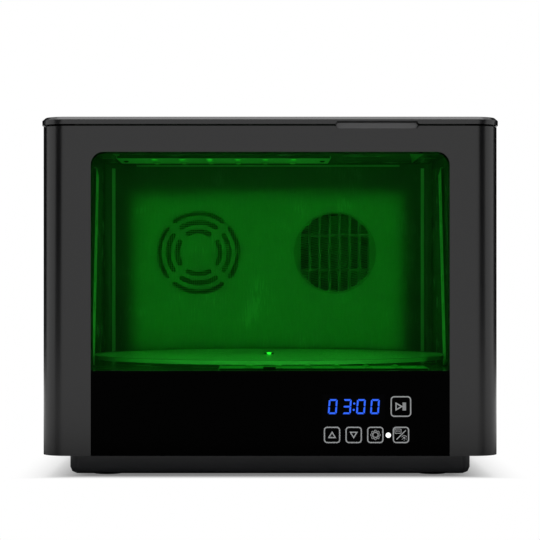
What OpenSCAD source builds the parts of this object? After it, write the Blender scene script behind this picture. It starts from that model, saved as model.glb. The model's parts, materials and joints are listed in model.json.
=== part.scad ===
// Light curing unit for a dental laboratory: a bench cabinet with a rear-hinged lid, a green
// filter window, a clear turntable, LED boards above, below and beside it, an extraction fan
// and a warm-air heater. Origin at the middle of the ground face, +Z up, front towards -Y.

/* [Casing] */
// Width of the casing
casing_w = 355; // [345:1:400]
// Depth of the casing
casing_d = 390; // [386:1:440]
// Height of the casing's walls
casing_h = 255.6; // [252:0.1:300]
// Thickness of the casing's walls
casing_wall = 3; // [2.5:0.1:4]
// Radius of the casing's upright corners
casing_corner_r = 19; // [14:0.5:24]
// Diameter of the screw bosses inside the casing
casing_boss_d = 14; // [12:0.5:16]
// Height of the screw bosses inside the casing
casing_boss_h = 15; // [12:1:25]
// Distance from a casing boss to the nearest end of the casing
casing_boss_inset = 49; // [40:1:70]

/* [Lid] */
// Gap between the casing and the lid
lid_gap = 1.4; // [1.4:0.1:3]
// Overhang of the lid past the casing, at the front and sides
lid_overhang = 1; // [0.5:0.1:3]
// Height of the lid's upright edge
lid_edge_h = 3.6; // [3.4:0.1:8]
// Height of the chamfer round the lid's top
lid_chamfer_h = 2.2; // [1:0.1:4]
// Width of the chamfer round the lid's top
lid_chamfer_w = 2.5; // [1:0.1:5]
// Thickness of the lid's top skin over its hollow
lid_skin = 2.8; // [2.2:0.1:3.2]
// Depth of the tray that hangs under the lid
lid_tray_h = 9.7; // [8:0.1:14]
// Gap between the tray and the chamber's mouth
lid_tray_gap = 2; // [1.5:0.1:4]
// Width of the finger pocket at the front
pocket_w = 64.6; // [50:0.1:90]
// Middle of the finger pocket, right of the centre
pocket_x = 82.8; // [-90:0.1:100]
// Depth of the pocket's notch in the lid, front to back
pocket_d = 8; // [8:0.5:10]
// Height of the pocket's half in the casing
pocket_drop = 2; // [1.5:0.1:2]
// Height of the pocket's half in the lid
pocket_rise = 2.1; // [1.5:0.1:2.4]
// How far the tab in the finger pocket stands back from the casing's front
pocket_tab_back = 4.4; // [4.2:0.1:4.8]
// Thickness of the tab in the finger pocket
pocket_tab_t = 2.4; // [2:0.1:3]
// Gap round the tab in the finger pocket
pocket_tab_gap = 0.6; // [0.5:0.1:0.8]

/* [Plinth] */
// Height of the rubber feet
foot_h = 2; // [1.5:0.1:6]
// Diameter of the rubber feet
foot_d = 22; // [16:1:30]
// Distance from the plinth's sides to the middle of a foot
foot_inset = 28; // [24:1:40]
// Height of the plinth
plinth_h = 15.8; // [12:0.1:25]
// How far the plinth stands back from the casing on each side
plinth_setback = 20; // [14:0.5:28]
// Radius of the plinth's upright corners
plinth_corner_r = 8; // [6:0.5:14]
// Thickness of the plinth's walls
plinth_wall = 3; // [2:0.1:4]
// Size of the rounding along the plinth's lower edge
plinth_round = 5; // [3:0.1:5.5]
// Thickness of the steel base plate
base_plate_t = 2; // [1.5:0.1:3]

/* [Window] */
// Width of the casing's front on each side of the window and the fascia
pillar_w = 38.5; // [34:0.5:47]
// Distance from the casing's top down to the window
window_drop = 20.1; // [14:0.1:30]
// Radius of the window's upper corners
window_corner_r = 10; // [4:0.5:20]
// Height of the black fascia below the window
fascia_h = 66; // [64:0.5:68]
// Gap round the window pane and the fascia
pane_gap = 0.2; // [0.1:0.05:0.4]
// Width of the carrier's rim that shows inside the pane
pane_rim = 1.4; // [1:0.1:6]
// Thickness of the carrier plate behind the pane
carrier_t = 2; // [1.5:0.1:3]
// Overlap of the carrier on the back of the casing's front wall
carrier_lap = 7; // [4:0.5:9]
// Diameter of the carrier's circuit-board posts
board_post_d = 7; // [5:0.5:8]
// Length of the carrier's circuit-board posts
board_post_h = 8; // [6:0.5:10]

/* [Chamber] */
// Space between the chamber and the casing's outside, on each side
side_space = 22.5; // [20:0.5:26]
// Space between the chamber and the casing's rear, for the heater and the fans
rear_space = 63; // [62:0.5:75]
// Height of the chamber floor above the casing's lower edge
service_h = 61.2; // [58:0.1:63]
// Thickness of the chamber's sheet metal
liner_t = 1.5; // [1:0.1:2]
// Radius of the corner strips at the chamber's rear
liner_bend_r = 6; // [5:0.5:14]
// Width of the flat edges of a corner strip, up to its seams with the sheets
liner_edge_w = 0.5; // [0.5:0.1:3]
// Thickness of the top deck
deck_t = 2; // [2:0.1:3]
// Width of the top deck's front strip, from the casing's front
deck_front = 15; // [14:0.5:20]
// Diameter of the posts that carry the chamber floor
floor_post_d = 8; // [6:0.5:12]
// Distance from the chamber's walls to the floor posts
floor_post_inset = 15; // [12:0.5:22]

/* [Turntable] */
// Smallest gap between the clear disc and the chamber's walls
table_margin = 5; // [4:0.5:30]
// Thickness of the clear disc
table_t = 3; // [2:0.1:5]
// Gap between the chamber floor and the disc
table_gap = 8.6; // [7:0.1:12]
// Diameter of the hub under the disc
hub_d = 10.4; // [10:0.1:16]
// Diameter of the drive shaft
shaft_d = 6; // [5:0.1:7]
// Diameter of the screw through the disc
table_screw_d = 3.6; // [3:0.1:4]
// Diameter of the head of the turntable's screw
table_screw_head_d = 8.6; // [7:0.1:12]
// Height of the head of the turntable's screw
table_screw_head_h = 1.6; // [1:0.1:2]
// Running clearance round the drive shaft
shaft_clearance = 0.06; // [0.03:0.01:0.09]
// Diameter of the gearmotor
motor_d = 50; // [44:1:60]
// Height of the gearmotor
motor_h = 20; // [16:0.5:24]
// Drop of the gearmotor's bracket below the chamber floor
bracket_drop = 11.5; // [10:0.5:16]
// Thickness of the gearmotor's bracket
bracket_t = 1.5; // [1:0.1:2.5]

/* [LED boards] */
// Thickness of the aluminium LED boards
board_t = 2; // [1.2:0.1:2.5]
// Distance between neighbouring LEDs
led_pitch = 25; // [20:0.5:26]
// Diameter of an LED's dome
led_d = 5.6; // [4:0.1:8]
// Height of an LED above its board
led_h = 1.4; // [1.2:0.1:3]
// Number of LEDs in a row
led_count = 6; // [3:1:6]
// Length of the lid's LED board
lid_board_l = 191; // [180:1:200]
// Width of the lid's LED board
lid_board_w = 71; // [50:1:90]
// Distance from the chamber's left wall to the lid's LED board
lid_board_inset = 19.3; // [10:0.1:60]
// Middle of the lid's LED board, behind the turntable's axis
lid_board_y = 83.5; // [60:0.5:90]
// Distance from the lid board's long edges to its rows of LEDs
lid_led_edge = 10; // [6:0.5:14]
// Length of the floor's LED board
floor_board_l = 175; // [160:1:180]
// Width of the floor's LED board
floor_board_w = 55; // [40:1:55]
// Distance from the chamber's right wall to the floor's LED board
floor_board_inset = 22.3; // [10:0.1:60]
// Middle of the floor's LED board, in front of the turntable's axis
floor_board_y = 35.5; // [35:0.5:45]
// Distance from the floor board's long edges to its rows of LEDs
floor_led_edge = 7; // [5:0.5:12]
// Length of the side LED boards
side_board_l = 175; // [150:1:178]
// Width of the side LED boards
side_board_w = 25; // [16:1:30]
// Lean of the side LED boards, in degrees
side_board_lean = 14.5; // [0:0.5:20]
// Middle of a side LED board, behind the turntable's axis
side_board_y = 36; // [0:1:60]
// Height of the middle of a side LED board above the chamber floor
side_board_z = 88.5; // [87:0.5:92]
// Diameter of the screw holes in the LED boards
board_hole_d = 4.5; // [3.2:0.1:5]

/* [Air] */
// Height of the fans' axes above the chamber floor
fan_z = 102.3; // [60:0.1:120]
// Distance from the centre to the extraction fan's axis
exhaust_x = 66; // [60:0.5:90]
// Distance from the centre to the heater's axis
heater_x = 63.5; // [60:0.5:90]
// Width of a fan's frame
fan_w = 80; // [78:1:84]
// Depth of a fan's frame
fan_d = 25; // [22:0.5:27]
// Depth of the heater
heater_d = 24; // [20:0.5:24]
// Running gap between the fan blades and the frame
blade_gap = 1; // [0.6:0.1:2]
// Diameter of an impeller's hub
fan_hub_d = 32; // [26:1:38]
// Diameter of a fan's shaft
fan_shaft_d = 3; // [2.5:0.1:4]
// Number of blades on an impeller
blade_count = 7; // [5:1:9]
// Outer radius of the extraction slots
vent_r = 39.8; // [36:0.1:40]
// Radial width of an extraction slot
vent_slot_w = 4.7; // [3:0.1:5]
// Radial step between the rings of extraction slots
vent_step = 8.55; // [7.6:0.05:9]
// Width of the bridges between the extraction slots
vent_bridge_w = 5.6; // [3:0.1:7]
// Radius of the heater's opening
heater_r = 39; // [36:0.1:39.5]
// Distance between the columns of the heater's grille
grille_pitch = 9.5; // [8.8:0.1:9.6]
// Width of the grille's upright bars
grille_bar_w = 2; // [1.5:0.1:3]
// Distance from the grille's middle to its cross bars
grille_cross_z = 16.5; // [12:0.1:20]
// Distance between the ridges of the heater's fins
fin_pitch = 2.3; // [2:0.1:4]
// Thickness of the heater's fins
fin_t = 0.4; // [0.3:0.05:0.6]
// Height of the louvres in the rear panel
louvre_h = 4; // [2:0.1:5]
// Distance between neighbouring louvres
louvre_pitch = 8; // [7:0.1:10]

/* [Rear] */
// Thickness of the rear panel
rear_panel_t = 2; // [1.5:0.1:2.5]
// Distance from the casing's sides to the opening in its rear wall
rear_open_inset = 29.5; // [28:0.5:37]
// Distance from the casing's top to the rear opening
rear_open_drop = 36; // [34:0.5:40]
// Height of the rear opening's lower edge above the casing's edge
rear_open_rise = 10; // [8:0.5:12]
// Overlap of the rear panel on the casing's rear wall
rear_lap = 7; // [5:0.5:7]
// Diameter of the pan heads of the screws
screw_head_d = 6; // [5:0.1:7]
// Diameter of the screws
screw_d = 3; // [2.5:0.1:3.4]
// Height of the pan heads of the screws
screw_head_h = 1.7; // [1.4:0.1:2]
// Distance from the casing's side to the middle of the power inlet
inlet_inset = 69.5; // [62:0.5:77]
// Height of the power inlet and the switch above the casing's edge
inlet_z = 32; // [28:0.5:40]
// Distance from the power inlet to the rocker switch
switch_step = 42; // [36:1:48]
// Tilt of the rocker to each side, in degrees
rocker_tilt = 7; // [5:0.5:9]

/* [Hinges] */
// Distance from the casing's side to the middle of a hinge
hinge_inset = 67.5; // [57:0.5:87]
// Length of a hinge
hinge_l = 50; // [40:1:60]
// Radius of a hinge's knuckles
knuckle_r = 4; // [3.6:0.1:4.4]
// Diameter of a hinge pin
pin_d = 4; // [3:0.1:4.4]
// Running clearance round a hinge pin
pin_clearance = 0.05; // [0.03:0.01:0.09]
// Distance from the casing's rear to the hinge pins
pin_back = 5; // [4.8:0.1:6]
// Thickness of the fixed hinge leaves
leaf_t = 2; // [1.5:0.1:2.4]
// Height of the fixed hinge leaves
leaf_h = 30; // [28:1:32]
// Length of the lid's hinge leaves, from the casing's rear inwards
lid_leaf_l = 20; // [14:1:24]

/* [Electronics] */
// Distance from the window's right side to the middle of the controls
control_inset = 64; // [60:0.5:80]
// Width of the display module
display_w = 48.4; // [44:0.1:52]
// Height of the display module
display_h = 20.2; // [18:0.1:22]
// Distance from the controls' middle to the display's middle
display_shift = 10.4; // [9:0.1:15]
// Height of the middle of the display module above the casing's edge
display_z = 37.8; // [36:0.1:39]
// Height of the lower row of keys above the casing's edge
key_row_z = 16.3; // [15:0.1:17]
// Distance from the casing's side to the middle of the power supply
supply_inset = 82.5; // [72:0.5:92]
// Length of the power supply
supply_l = 110; // [90:1:120]
// Width of the power supply
supply_w = 78; // [60:1:90]
// Height of the power supply
supply_h = 36; // [26:1:40]
// Distance from the casing's side to the middle of the driver board
driver_inset = 77.5; // [72:0.5:87]
// Length of the driver board
driver_l = 100; // [80:1:110]
// Width of the driver board
driver_w = 90; // [70:1:110]

/* [Hidden] */
$fn = 64;
// Overshoot of a cutting shape past the face that it cuts
cut = 1;
// Gap between pieces that fit into each other without a running fit
fit = 0.1;
// Gap between pieces that move past each other
travel_gap = 0.3;

// Casing and its place over the origin
pin_reach = pin_back + knuckle_r;
casing_front = lid_overhang - (casing_d + lid_overhang + pin_reach) / 2;
casing_rear = casing_front + casing_d;
casing_mid = (casing_front + casing_rear) / 2;
casing_bottom = foot_h + plinth_h;
casing_top = casing_bottom + casing_h;
wall_back = casing_front + casing_wall;
rear_inside = casing_rear - casing_wall;
window_w = casing_w - 2 * pillar_w;
chamber_w = casing_w - 2 * side_space;
chamber_rear = casing_rear - rear_space;
boss_x = casing_w / 2 - casing_wall - casing_boss_d / 2 + cut;
base_top = casing_bottom + base_plate_t;

// Lid
lid_bottom = casing_top + lid_gap;
lid_shoulder = lid_bottom + lid_edge_h;
lid_top = lid_shoulder + lid_chamfer_h;
lid_w = casing_w + 2 * lid_overhang;
lid_front = casing_front - lid_overhang;
lid_mid = (lid_front + casing_rear) / 2;
lid_d = casing_rear - lid_front;
lid_corner_r = casing_corner_r + lid_overhang;
tray_bottom = lid_bottom - lid_tray_h;
tray_t = 1.2;
tray_lip_w = 250;
tray_lip_h = 2.5;
tray_lip_d = 8;
tray_x = chamber_w / 2 - lid_tray_gap;
tray_front = casing_front + deck_front + lid_tray_gap;
tray_rear = chamber_rear - lid_tray_gap;
hollow_margin = 8;
pocket_bevel = 1.3;
pocket_rear = casing_front + pocket_d;
pocket_floor_t = 1.5;
pocket_floor_lap = 3.5;
lid_post_d = 8;
lid_post_side = 23;
lid_post_front = 17;
lid_post_step = 105;
lid_post_xs = [-tray_x + lid_post_side, 0, tray_x - lid_post_side];
lid_post_ys = [tray_front + lid_post_front, tray_front + lid_post_front + lid_post_step];
lid_screw_l = 7;
buffer_d = 8;
buffer_side = 10;
buffer_x = casing_w / 2 - buffer_side;
buffer_inset = 24;
magnet_d = 6;
magnet_h = 2.5;
magnet_inset = 11;
magnet_from_front = 79;
magnet_x = casing_w / 2 - magnet_inset;
magnet_y = casing_front + magnet_from_front;

// Window, fascia and carrier
window_top = casing_top - window_drop;
fascia_top = casing_bottom + fascia_h;
pane_back = wall_back;
carrier_back = wall_back + carrier_t;
board_front = carrier_back + board_post_h;
circuit_t = 1.6;
control_x = window_w / 2 - control_inset;
control_w = 106;
control_h = 52;
control_z = casing_bottom + 31;
control_post_inset = 5;
control_opening_w = 84;
control_opening_h = 44;
control_opening_side = 44;
control_opening_low = 7;
key_x = control_x + 26.1;
key_xs = [control_x - 27.1, control_x - 10.5, control_x + 6.4, key_x];
spring_d = 8;
status_x = control_x + 16.4;
status_d = 4;
display_x = control_x - display_shift;

// Chamber
floor_top = casing_bottom + service_h;
floor_bottom = floor_top - liner_t;
liner_rear = chamber_rear + liner_t;
liner_seam_x = chamber_w / 2 - liner_bend_r - liner_edge_w;
liner_seam_y = chamber_rear - liner_bend_r - liner_edge_w;
deck_bottom = casing_top - deck_t;
deck_mouth = casing_front + deck_front;
floor_post_x = chamber_w / 2 - floor_post_inset;
floor_post_ys = [carrier_back + board_post_h + floor_post_inset, chamber_rear - floor_post_inset];

// Turntable and its drive
table_y = (carrier_back + chamber_rear) / 2;
table_d = min(chamber_w, chamber_rear - carrier_back) - 2 * table_margin;
table_bottom = floor_top + table_gap;
table_top = table_bottom + table_t;
bush_d = shaft_d + 6;
bush_flange_d = shaft_d + 10;
bush_flange_t = 1.2;
bracket_plate_top = floor_bottom - bracket_drop;
bracket_plate_bottom = bracket_plate_top - bracket_t;
motor_top = bracket_plate_bottom;
motor_bottom = motor_top - motor_h;
motor_boss_d = shaft_d + 6;
bracket_margin = 8;
bracket_w = 40;
bracket_foot = 11;
shaft_depth = 12;
hub_lift = 0.4;
screw_depth = 6;

// LED boards
lid_board_x = -chamber_w / 2 + lid_board_inset + lid_board_l / 2;
lid_board_mid = table_y + lid_board_y;
lid_board_bottom = tray_bottom - board_t;
floor_board_x = chamber_w / 2 - floor_board_inset - floor_board_l / 2;
floor_board_mid = table_y - floor_board_y;
side_board_mid = table_y + side_board_y;
side_board_up = floor_top + side_board_z;
lid_board_hole = 6.4;
dome_rise = led_h * 0.57;
dome_r = (pow(led_d / 2, 2) + pow(dome_rise, 2)) / (2 * dome_rise);

// Fans, heater and their places
fan_axis = floor_top + fan_z;
fan_bore_r = fan_w / 2 - 2;
fan_hole = 35.75;
fan_hole_d = 4.3;
stator_t = 4;
strut_w = 4;
screen_t = 1;
screen_rim = 3;
screen_pitch = 7;
screen_hole = 5.4;
exhaust_fan_front = liner_rear + screen_t;
duct_front = exhaust_fan_front + fan_d;
panel_front = rear_inside - rear_panel_t;
duct_wall = 2;
grille_t = 1.5;
grille_rim = 2;
grille_columns = 7;
heater_front = liner_rear + grille_t;
heater_fan_front = heater_front + heater_d;
heater_window = grille_pitch * grille_columns;
heater_border = 2.4;
fin_h = fan_w - 2 * heater_border - 2 * fit;
fin_tube_t = 1.6;
fin_reach = (grille_pitch - fin_tube_t) / 2 - fit;
fin_ridges = floor((fin_h - fin_t) / fin_pitch);
blade_chord = 19;
blade_t = 1.5;
blade_pitch_angle = 38;

// Rear panel, inlet and switch
rear_open_w = casing_w - 2 * rear_open_inset;
rear_open_top = casing_top - rear_open_drop;
rear_open_bottom = casing_bottom + rear_open_rise;
rear_open_mid = (rear_open_top + rear_open_bottom) / 2;
rear_open_h = rear_open_top - rear_open_bottom;
rear_panel_w = rear_open_w + 2 * rear_lap;
rear_panel_h = rear_open_h + 2 * rear_lap;
rear_screw_xs = [-1, 1] * (rear_open_w + rear_lap) / 2;
rear_screw_zs = [rear_open_bottom + 12, rear_open_mid, rear_open_top - 12];
service_z = casing_bottom + inlet_z;
inlet_x = casing_w / 2 - inlet_inset;
switch_x = inlet_x - switch_step;
inlet_w = 27;
inlet_h = 19.6;
inlet_flange_w = 50;
inlet_flange_h = 23;
inlet_flange_t = 2.5;
inlet_depth = 22;
inlet_mouth_w = 24.2;
inlet_mouth_h = 16.6;
inlet_mouth_depth = 17;
inlet_mouth_cut = 4.4;
inlet_pin_recess = 5;
inlet_screw_x = 20;
switch_w = 13;
switch_h = 19.4;
switch_depth = 18;
switch_bezel = 1.2;
switch_bezel_t = 1.6;
switch_cavity_w = 10.4;
switch_cavity_h = 17.6;
switch_cavity_depth = 9;
rocker_w = 9.8;
rocker_h = 15;
rocker_back = 3.5;
rocker_front = 4.5;
rocker_pin_d = 2;
rocker_pin_reach = 0.9;
rocker_y = rear_inside;

// Hinges
hinge_x = casing_w / 2 - hinge_inset;
pin_y = casing_rear + pin_back;
pin_z = casing_top + 0.7;
knuckle_gap = 0.4;
lid_knuckle_l = hinge_l * 0.42;
side_knuckle_l = (hinge_l - lid_knuckle_l) / 2 - knuckle_gap;
lid_leaf_bottom = casing_top + travel_gap;
leaf_bottom = casing_top - 5 - leaf_h;
leaf_screw_xs = [-16, 0, 16];
leaf_screw_z = leaf_bottom + 12;

// Electronics in the base
driver_x = driver_inset - casing_w / 2;
driver_y = -36;
driver_post_h = 8;
driver_z = base_top + driver_post_h;
supply_x = casing_w / 2 - supply_inset;
supply_y = 0;
supply_foot_h = 2;
loom_d = 5;
loom_z = driver_z + circuit_t / 2;
plug_d = 4;
loom_turn = 40;

// Plain rectangle round a middle point, with rounded corners
module rounded_rect(w, h, r) {
    square([w, h - 2 * r], center = true);
    square([w - 2 * r, h], center = true);
    for (x = [-1, 1], y = [-1, 1])
        translate([x * (w / 2 - r), y * (h / 2 - r)]) circle(r = r);
}

// Slot with round ends along X
module slot(l, w) {
    square([l - w, w], center = true);
    for (x = [-1, 1]) translate([x * (l - w) / 2, 0]) circle(d = w);
}

// Sheet standing in X and Z, from y to y + t
module upright(y, t) {
    translate([0, y + t, 0]) rotate([90, 0, 0]) linear_extrude(height = t) children();
}

// Sheet standing in Y and Z, from x to x + t
module sideways(x, t) {
    translate([x, 0, 0]) rotate([90, 0, 90]) linear_extrude(height = t) children();
}

// Flat sheet in X and Y, from z to z + t
module flat(z, t) {
    translate([0, 0, z]) linear_extrude(height = t) children();
}

// Casing's outline, drawn inwards by inset
module casing_outline(inset) {
    translate([0, casing_mid])
        rounded_rect(casing_w - 2 * inset, casing_d - 2 * inset, casing_corner_r - inset);
}

// Slab whose outline steps in from inset_low at the bottom to inset_high at the top
module stepped_slab(w, d, r, z, h, inset_low, inset_high) {
    profile_x = [[-w / 2 + inset_low, z], [w / 2 - inset_low, z],
        [w / 2 - inset_high, z + h], [-w / 2 + inset_high, z + h]];
    profile_y = [[-d / 2 + inset_low, z], [d / 2 - inset_low, z],
        [d / 2 - inset_high, z + h], [-d / 2 + inset_high, z + h]];
    rotate([90, 0, 0])
        linear_extrude(height = d - 2 * r, center = true) polygon(profile_x);
    rotate([90, 0, 90])
        linear_extrude(height = w - 2 * r, center = true) polygon(profile_y);
    for (x = [-1, 1], y = [-1, 1])
        translate([x * (w / 2 - r), y * (d / 2 - r), z])
            cylinder(h = h, r1 = r - inset_low, r2 = r - inset_high);
}

// Window and fascia cut-out, open at the casing's lower edge
module window_shape(gap) {
    w = window_w - 2 * gap;
    r = window_corner_r - gap;
    low = casing_bottom - cut;
    high = window_top - gap;
    translate([-w / 2, low]) square([w, high - r - low]);
    translate([-w / 2 + r, low]) square([w - 2 * r, high - low]);
    for (x = [-1, 1]) translate([x * (w / 2 - r), high - r]) circle(r = r);
}

// Chamber's outline, drawn outwards by grow, with bent rear corners
module chamber_outline(grow, front) {
    x = chamber_w / 2 + grow;
    r = liner_bend_r + grow;
    rear = chamber_rear + grow;
    translate([-x, front]) square([2 * x, rear - r - front]);
    translate([-x + r, front]) square([2 * (x - r), rear - front]);
    for (s = [-1, 1]) translate([s * (x - r), rear - r]) circle(r = r);
}

// Finger pocket's outline, wide at the seam and narrower at its far side
module pocket_shape(z, rise) {
    w = pocket_w / 2;
    over = sign(rise) * cut;
    translate([pocket_x, z])
        polygon([[-w, -over], [w, -over], [w, 0], [w - pocket_bevel, rise],
            [-w + pocket_bevel, rise], [-w, 0]]);
}

// Pan-head screw with its head's seat at the origin and its shank along -Z
module screw(shank) {
    cylinder(d = screw_head_d, h = screw_head_h);
    translate([0, 0, -shank]) cylinder(d = screw_d, h = shank + screw_head_h / 2);
}

// LED with its seat at the origin
module led() {
    intersection() {
        cylinder(d = led_d, h = led_h);
        translate([0, 0, led_h - dome_r]) sphere(r = dome_r);
    }
}

module led_row() {
    for (i = [0 : led_count - 1])
        translate([(i - (led_count - 1) / 2) * led_pitch, 0, 0]) led();
}

module outer_casing() color("#3b3b3b") difference() {
    union() {
        flat(casing_bottom, casing_h) difference() {
            casing_outline(0);
            casing_outline(casing_wall);
        }
        for (x = [-boss_x, boss_x], y = [casing_front + casing_boss_inset,
                casing_rear - casing_boss_inset])
            translate([x, y, base_top]) cylinder(d = casing_boss_d, h = casing_boss_h);
    }
    upright(casing_front - cut, casing_wall + 2 * cut) window_shape(0);
    upright(casing_front - cut, casing_wall + 2 * cut) pocket_shape(casing_top, -pocket_drop);
    upright(rear_inside - cut, casing_wall + 2 * cut)
        translate([0, rear_open_mid]) rounded_rect(rear_open_w, rear_open_h, 6);
    for (x = [-boss_x, boss_x], y = [casing_front + casing_boss_inset,
            casing_rear - casing_boss_inset])
        translate([x, y, base_top - cut]) cylinder(d = screw_d, h = casing_boss_h - 2);
    for (x = [-hinge_x, hinge_x], dx = leaf_screw_xs) rear_hole(x + dx, leaf_screw_z);
    for (x = rear_screw_xs, z = rear_screw_zs) rear_hole(x, z);
}

// Screw hole through the casing's rear wall
module rear_hole(x, z) {
    translate([x, rear_inside - cut, z]) rotate([-90, 0, 0])
        cylinder(d = screw_d, h = casing_wall + 2 * cut);
}

// Two square arrays of slots, one behind each fan, and a row of upright slots below
module rear_slots() {
    count = floor((fan_w - 16) / louvre_pitch / 2);
    for (x = [-exhaust_x, heater_x], i = [-count : count])
        translate([x, fan_axis + i * louvre_pitch]) slot(fan_w - 14, louvre_h);
    for (i = [0 : 9])
        translate([-120 + i * louvre_pitch, service_z]) rotate([0, 0, 90]) slot(24, louvre_h);
}

module rear_panel() color("#2f2f2f") difference() {
    upright(panel_front, rear_panel_t) difference() {
        translate([0, rear_open_mid]) rounded_rect(rear_panel_w, rear_panel_h, 4);
        rear_slots();
        translate([inlet_x, service_z]) square([inlet_w + fit, inlet_h + fit], center = true);
        translate([switch_x, service_z])
            square([switch_w + fit, switch_h + fit], center = true);
        for (x = rear_screw_xs, z = rear_screw_zs) translate([x, z]) circle(d = screw_d);
        for (x = [-1, 1])
            translate([inlet_x + x * inlet_screw_x, service_z]) circle(d = screw_d);
    }
}

module window_pane() color("#0b6a12", 0.6) upright(casing_front, casing_wall)
    intersection() {
        window_shape(pane_gap);
        translate([-window_w, fascia_top + pane_gap / 2]) square([2 * window_w, casing_h]);
    }

module touch_fascia() color("#050505") upright(casing_front, casing_wall)
    translate([-window_w / 2 + pane_gap, casing_bottom])
        square([window_w - 2 * pane_gap, fascia_h - pane_gap / 2]);

// Plate behind the pane and the fascia, with posts for the control board
module pane_carrier() color("#101010") {
    low = base_top;
    high = window_top + carrier_lap;
    half = window_w / 2 + carrier_lap;
    rim = window_w / 2 - pane_rim;
    sill = fascia_top - 2;
    difference() {
        union() {
            upright(pane_back, carrier_t) difference() {
                translate([-half, low]) square([2 * half, high - low]);
                intersection() {
                    window_shape(pane_rim);
                    translate([-rim, sill]) square([2 * rim, casing_h]);
                }
                translate([control_x - control_opening_side,
                        casing_bottom + control_opening_low])
                    square([control_opening_w, control_opening_h]);
            }
            control_posts() cylinder(d = board_post_d, h = board_post_h + carrier_t);
        }
        control_posts() translate([0, 0, carrier_t + 1]) cylinder(d = 2.5, h = board_post_h);
    }
}

// Places of the four control-board posts, along +Y from the pane's back
module control_posts() {
    for (x = [-1, 1], z = [-1, 1])
        translate([control_x + x * (control_w / 2 - control_post_inset), pane_back,
                control_z + z * (control_h / 2 - control_post_inset)])
            rotate([-90, 0, 0]) children();
}

// Three rings of four slots with round ends
module vent_slots() {
    for (ring = [0 : 2]) {
        outer = vent_r - ring * vent_step;
        middle = outer - vent_slot_w / 2;
        reach = 45 - asin((vent_bridge_w + vent_slot_w) / 2 / middle);
        difference() {
            circle(r = outer);
            circle(r = outer - vent_slot_w);
            for (a = [45 : 90 : 315]) rotate([0, 0, a])
                polygon([[0, 0], [2 * vent_r, -2 * vent_r * tan(45 - reach)],
                    [2 * vent_r, 2 * vent_r * tan(45 - reach)]]);
        }
        for (quarter = [0 : 90 : 270], end = [-reach, reach]) rotate([0, 0, quarter + end])
            translate([middle, 0]) circle(d = vent_slot_w - fit);
    }
}

// Side sheets of the chamber, and the rounded strips that join them to the rear sheet
module chamber_liner() color("#c9ccca") flat(floor_top, deck_bottom - floor_top) difference() {
    chamber_outline(liner_t, carrier_back);
    chamber_outline(0, carrier_back - cut);
    translate([-liner_seam_x, liner_rear - 3 * liner_t])
        square([2 * liner_seam_x, 4 * liner_t]);
    translate([-chamber_w, liner_seam_y]) square([2 * chamber_w, fit]);
}

module chamber_rear_sheet() color("#c9ccca") upright(chamber_rear, liner_t) difference() {
    translate([fit - liner_seam_x, floor_top])
        square([2 * (liner_seam_x - fit), deck_bottom - floor_top]);
    translate([-exhaust_x, fan_axis]) vent_slots();
    translate([heater_x, fan_axis]) circle(r = heater_r);
}

module chamber_floor() color("#bfc3c0") flat(floor_bottom, liner_t) difference() {
    chamber_outline(liner_t, carrier_back);
    translate([0, table_y]) circle(d = bush_d + 2 * fit);
}

// Frame round the chamber's mouth, level with the casing's top
module top_deck() color("#343434") difference() {
    flat(deck_bottom, deck_t) difference() {
        casing_outline(casing_wall + fit);
        chamber_outline(0, deck_mouth);
    }
    upright(casing_front, pocket_d) pocket_shape(casing_top, -deck_t - cut);
}

// Tab that stands in the pocket on a small shelf, which is fixed under the top deck
module finger_pocket() color("#434343") {
    w = pocket_w / 2 - pocket_tab_gap;
    foot = w - pocket_bevel;
    low = deck_bottom;
    high = lid_bottom + pocket_rise - pocket_tab_gap;
    upright(casing_front + pocket_tab_back, pocket_tab_t) translate([pocket_x, 0])
        polygon([[-foot, low], [foot, low], [w, casing_top], [w, lid_bottom],
            [foot, high], [-foot, high], [-w, lid_bottom], [-w, casing_top]]);
    translate([pocket_x - foot - pocket_floor_lap, wall_back + fit, low - pocket_floor_t])
        cube([2 * (foot + pocket_floor_lap), pocket_d, pocket_floor_t]);
}

module base_plate() color("#8d9090") flat(casing_bottom, base_plate_t) difference() {
    casing_outline(casing_wall + fit);
    for (x = [-boss_x, boss_x], y = [casing_front + casing_boss_inset,
            casing_rear - casing_boss_inset])
        translate([x, y]) circle(d = screw_d);
}

// Moulded skirt under the base plate, hollow from above, with a rounded lower edge
module plinth() color("#252525") translate([0, casing_mid, 0]) {
    w = casing_w - 2 * plinth_setback;
    d = casing_d - 2 * plinth_setback;
    r = plinth_corner_r;
    step = plinth_round * 0.3;
    difference() {
        union() {
            stepped_slab(w, d, r, foot_h, step, plinth_round, step);
            stepped_slab(w, d, r, foot_h + step, plinth_round - step, step, 0);
            flat(foot_h + plinth_round, plinth_h - plinth_round) rounded_rect(w, d, r);
        }
        flat(foot_h + plinth_round, plinth_h)
            rounded_rect(w - 2 * plinth_wall, d - 2 * plinth_wall, r - plinth_wall);
        foot_places() translate([0, 0, -cut]) cylinder(d = foot_d / 2, h = plinth_h);
    }
}

// Places of the feet, from the plinth's middle
module foot_places() {
    w = casing_w / 2 - plinth_setback - foot_inset;
    d = casing_d / 2 - plinth_setback - foot_inset;
    for (x = [-w, w], y = [-d, d]) translate([x, y, 0]) children();
}

module rubber_feet() color("#151515") translate([0, casing_mid, 0]) foot_places() {
    cylinder(d = foot_d, h = foot_h);
    cylinder(d = foot_d / 2 - fit, h = foot_h + plinth_round + 1);
}

module floor_posts() color("#b9bcbc")
    for (x = [-floor_post_x, floor_post_x], y = floor_post_ys)
        translate([x, y, base_top])
            cylinder(d = floor_post_d, h = floor_bottom - base_top, $fn = 6);

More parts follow.
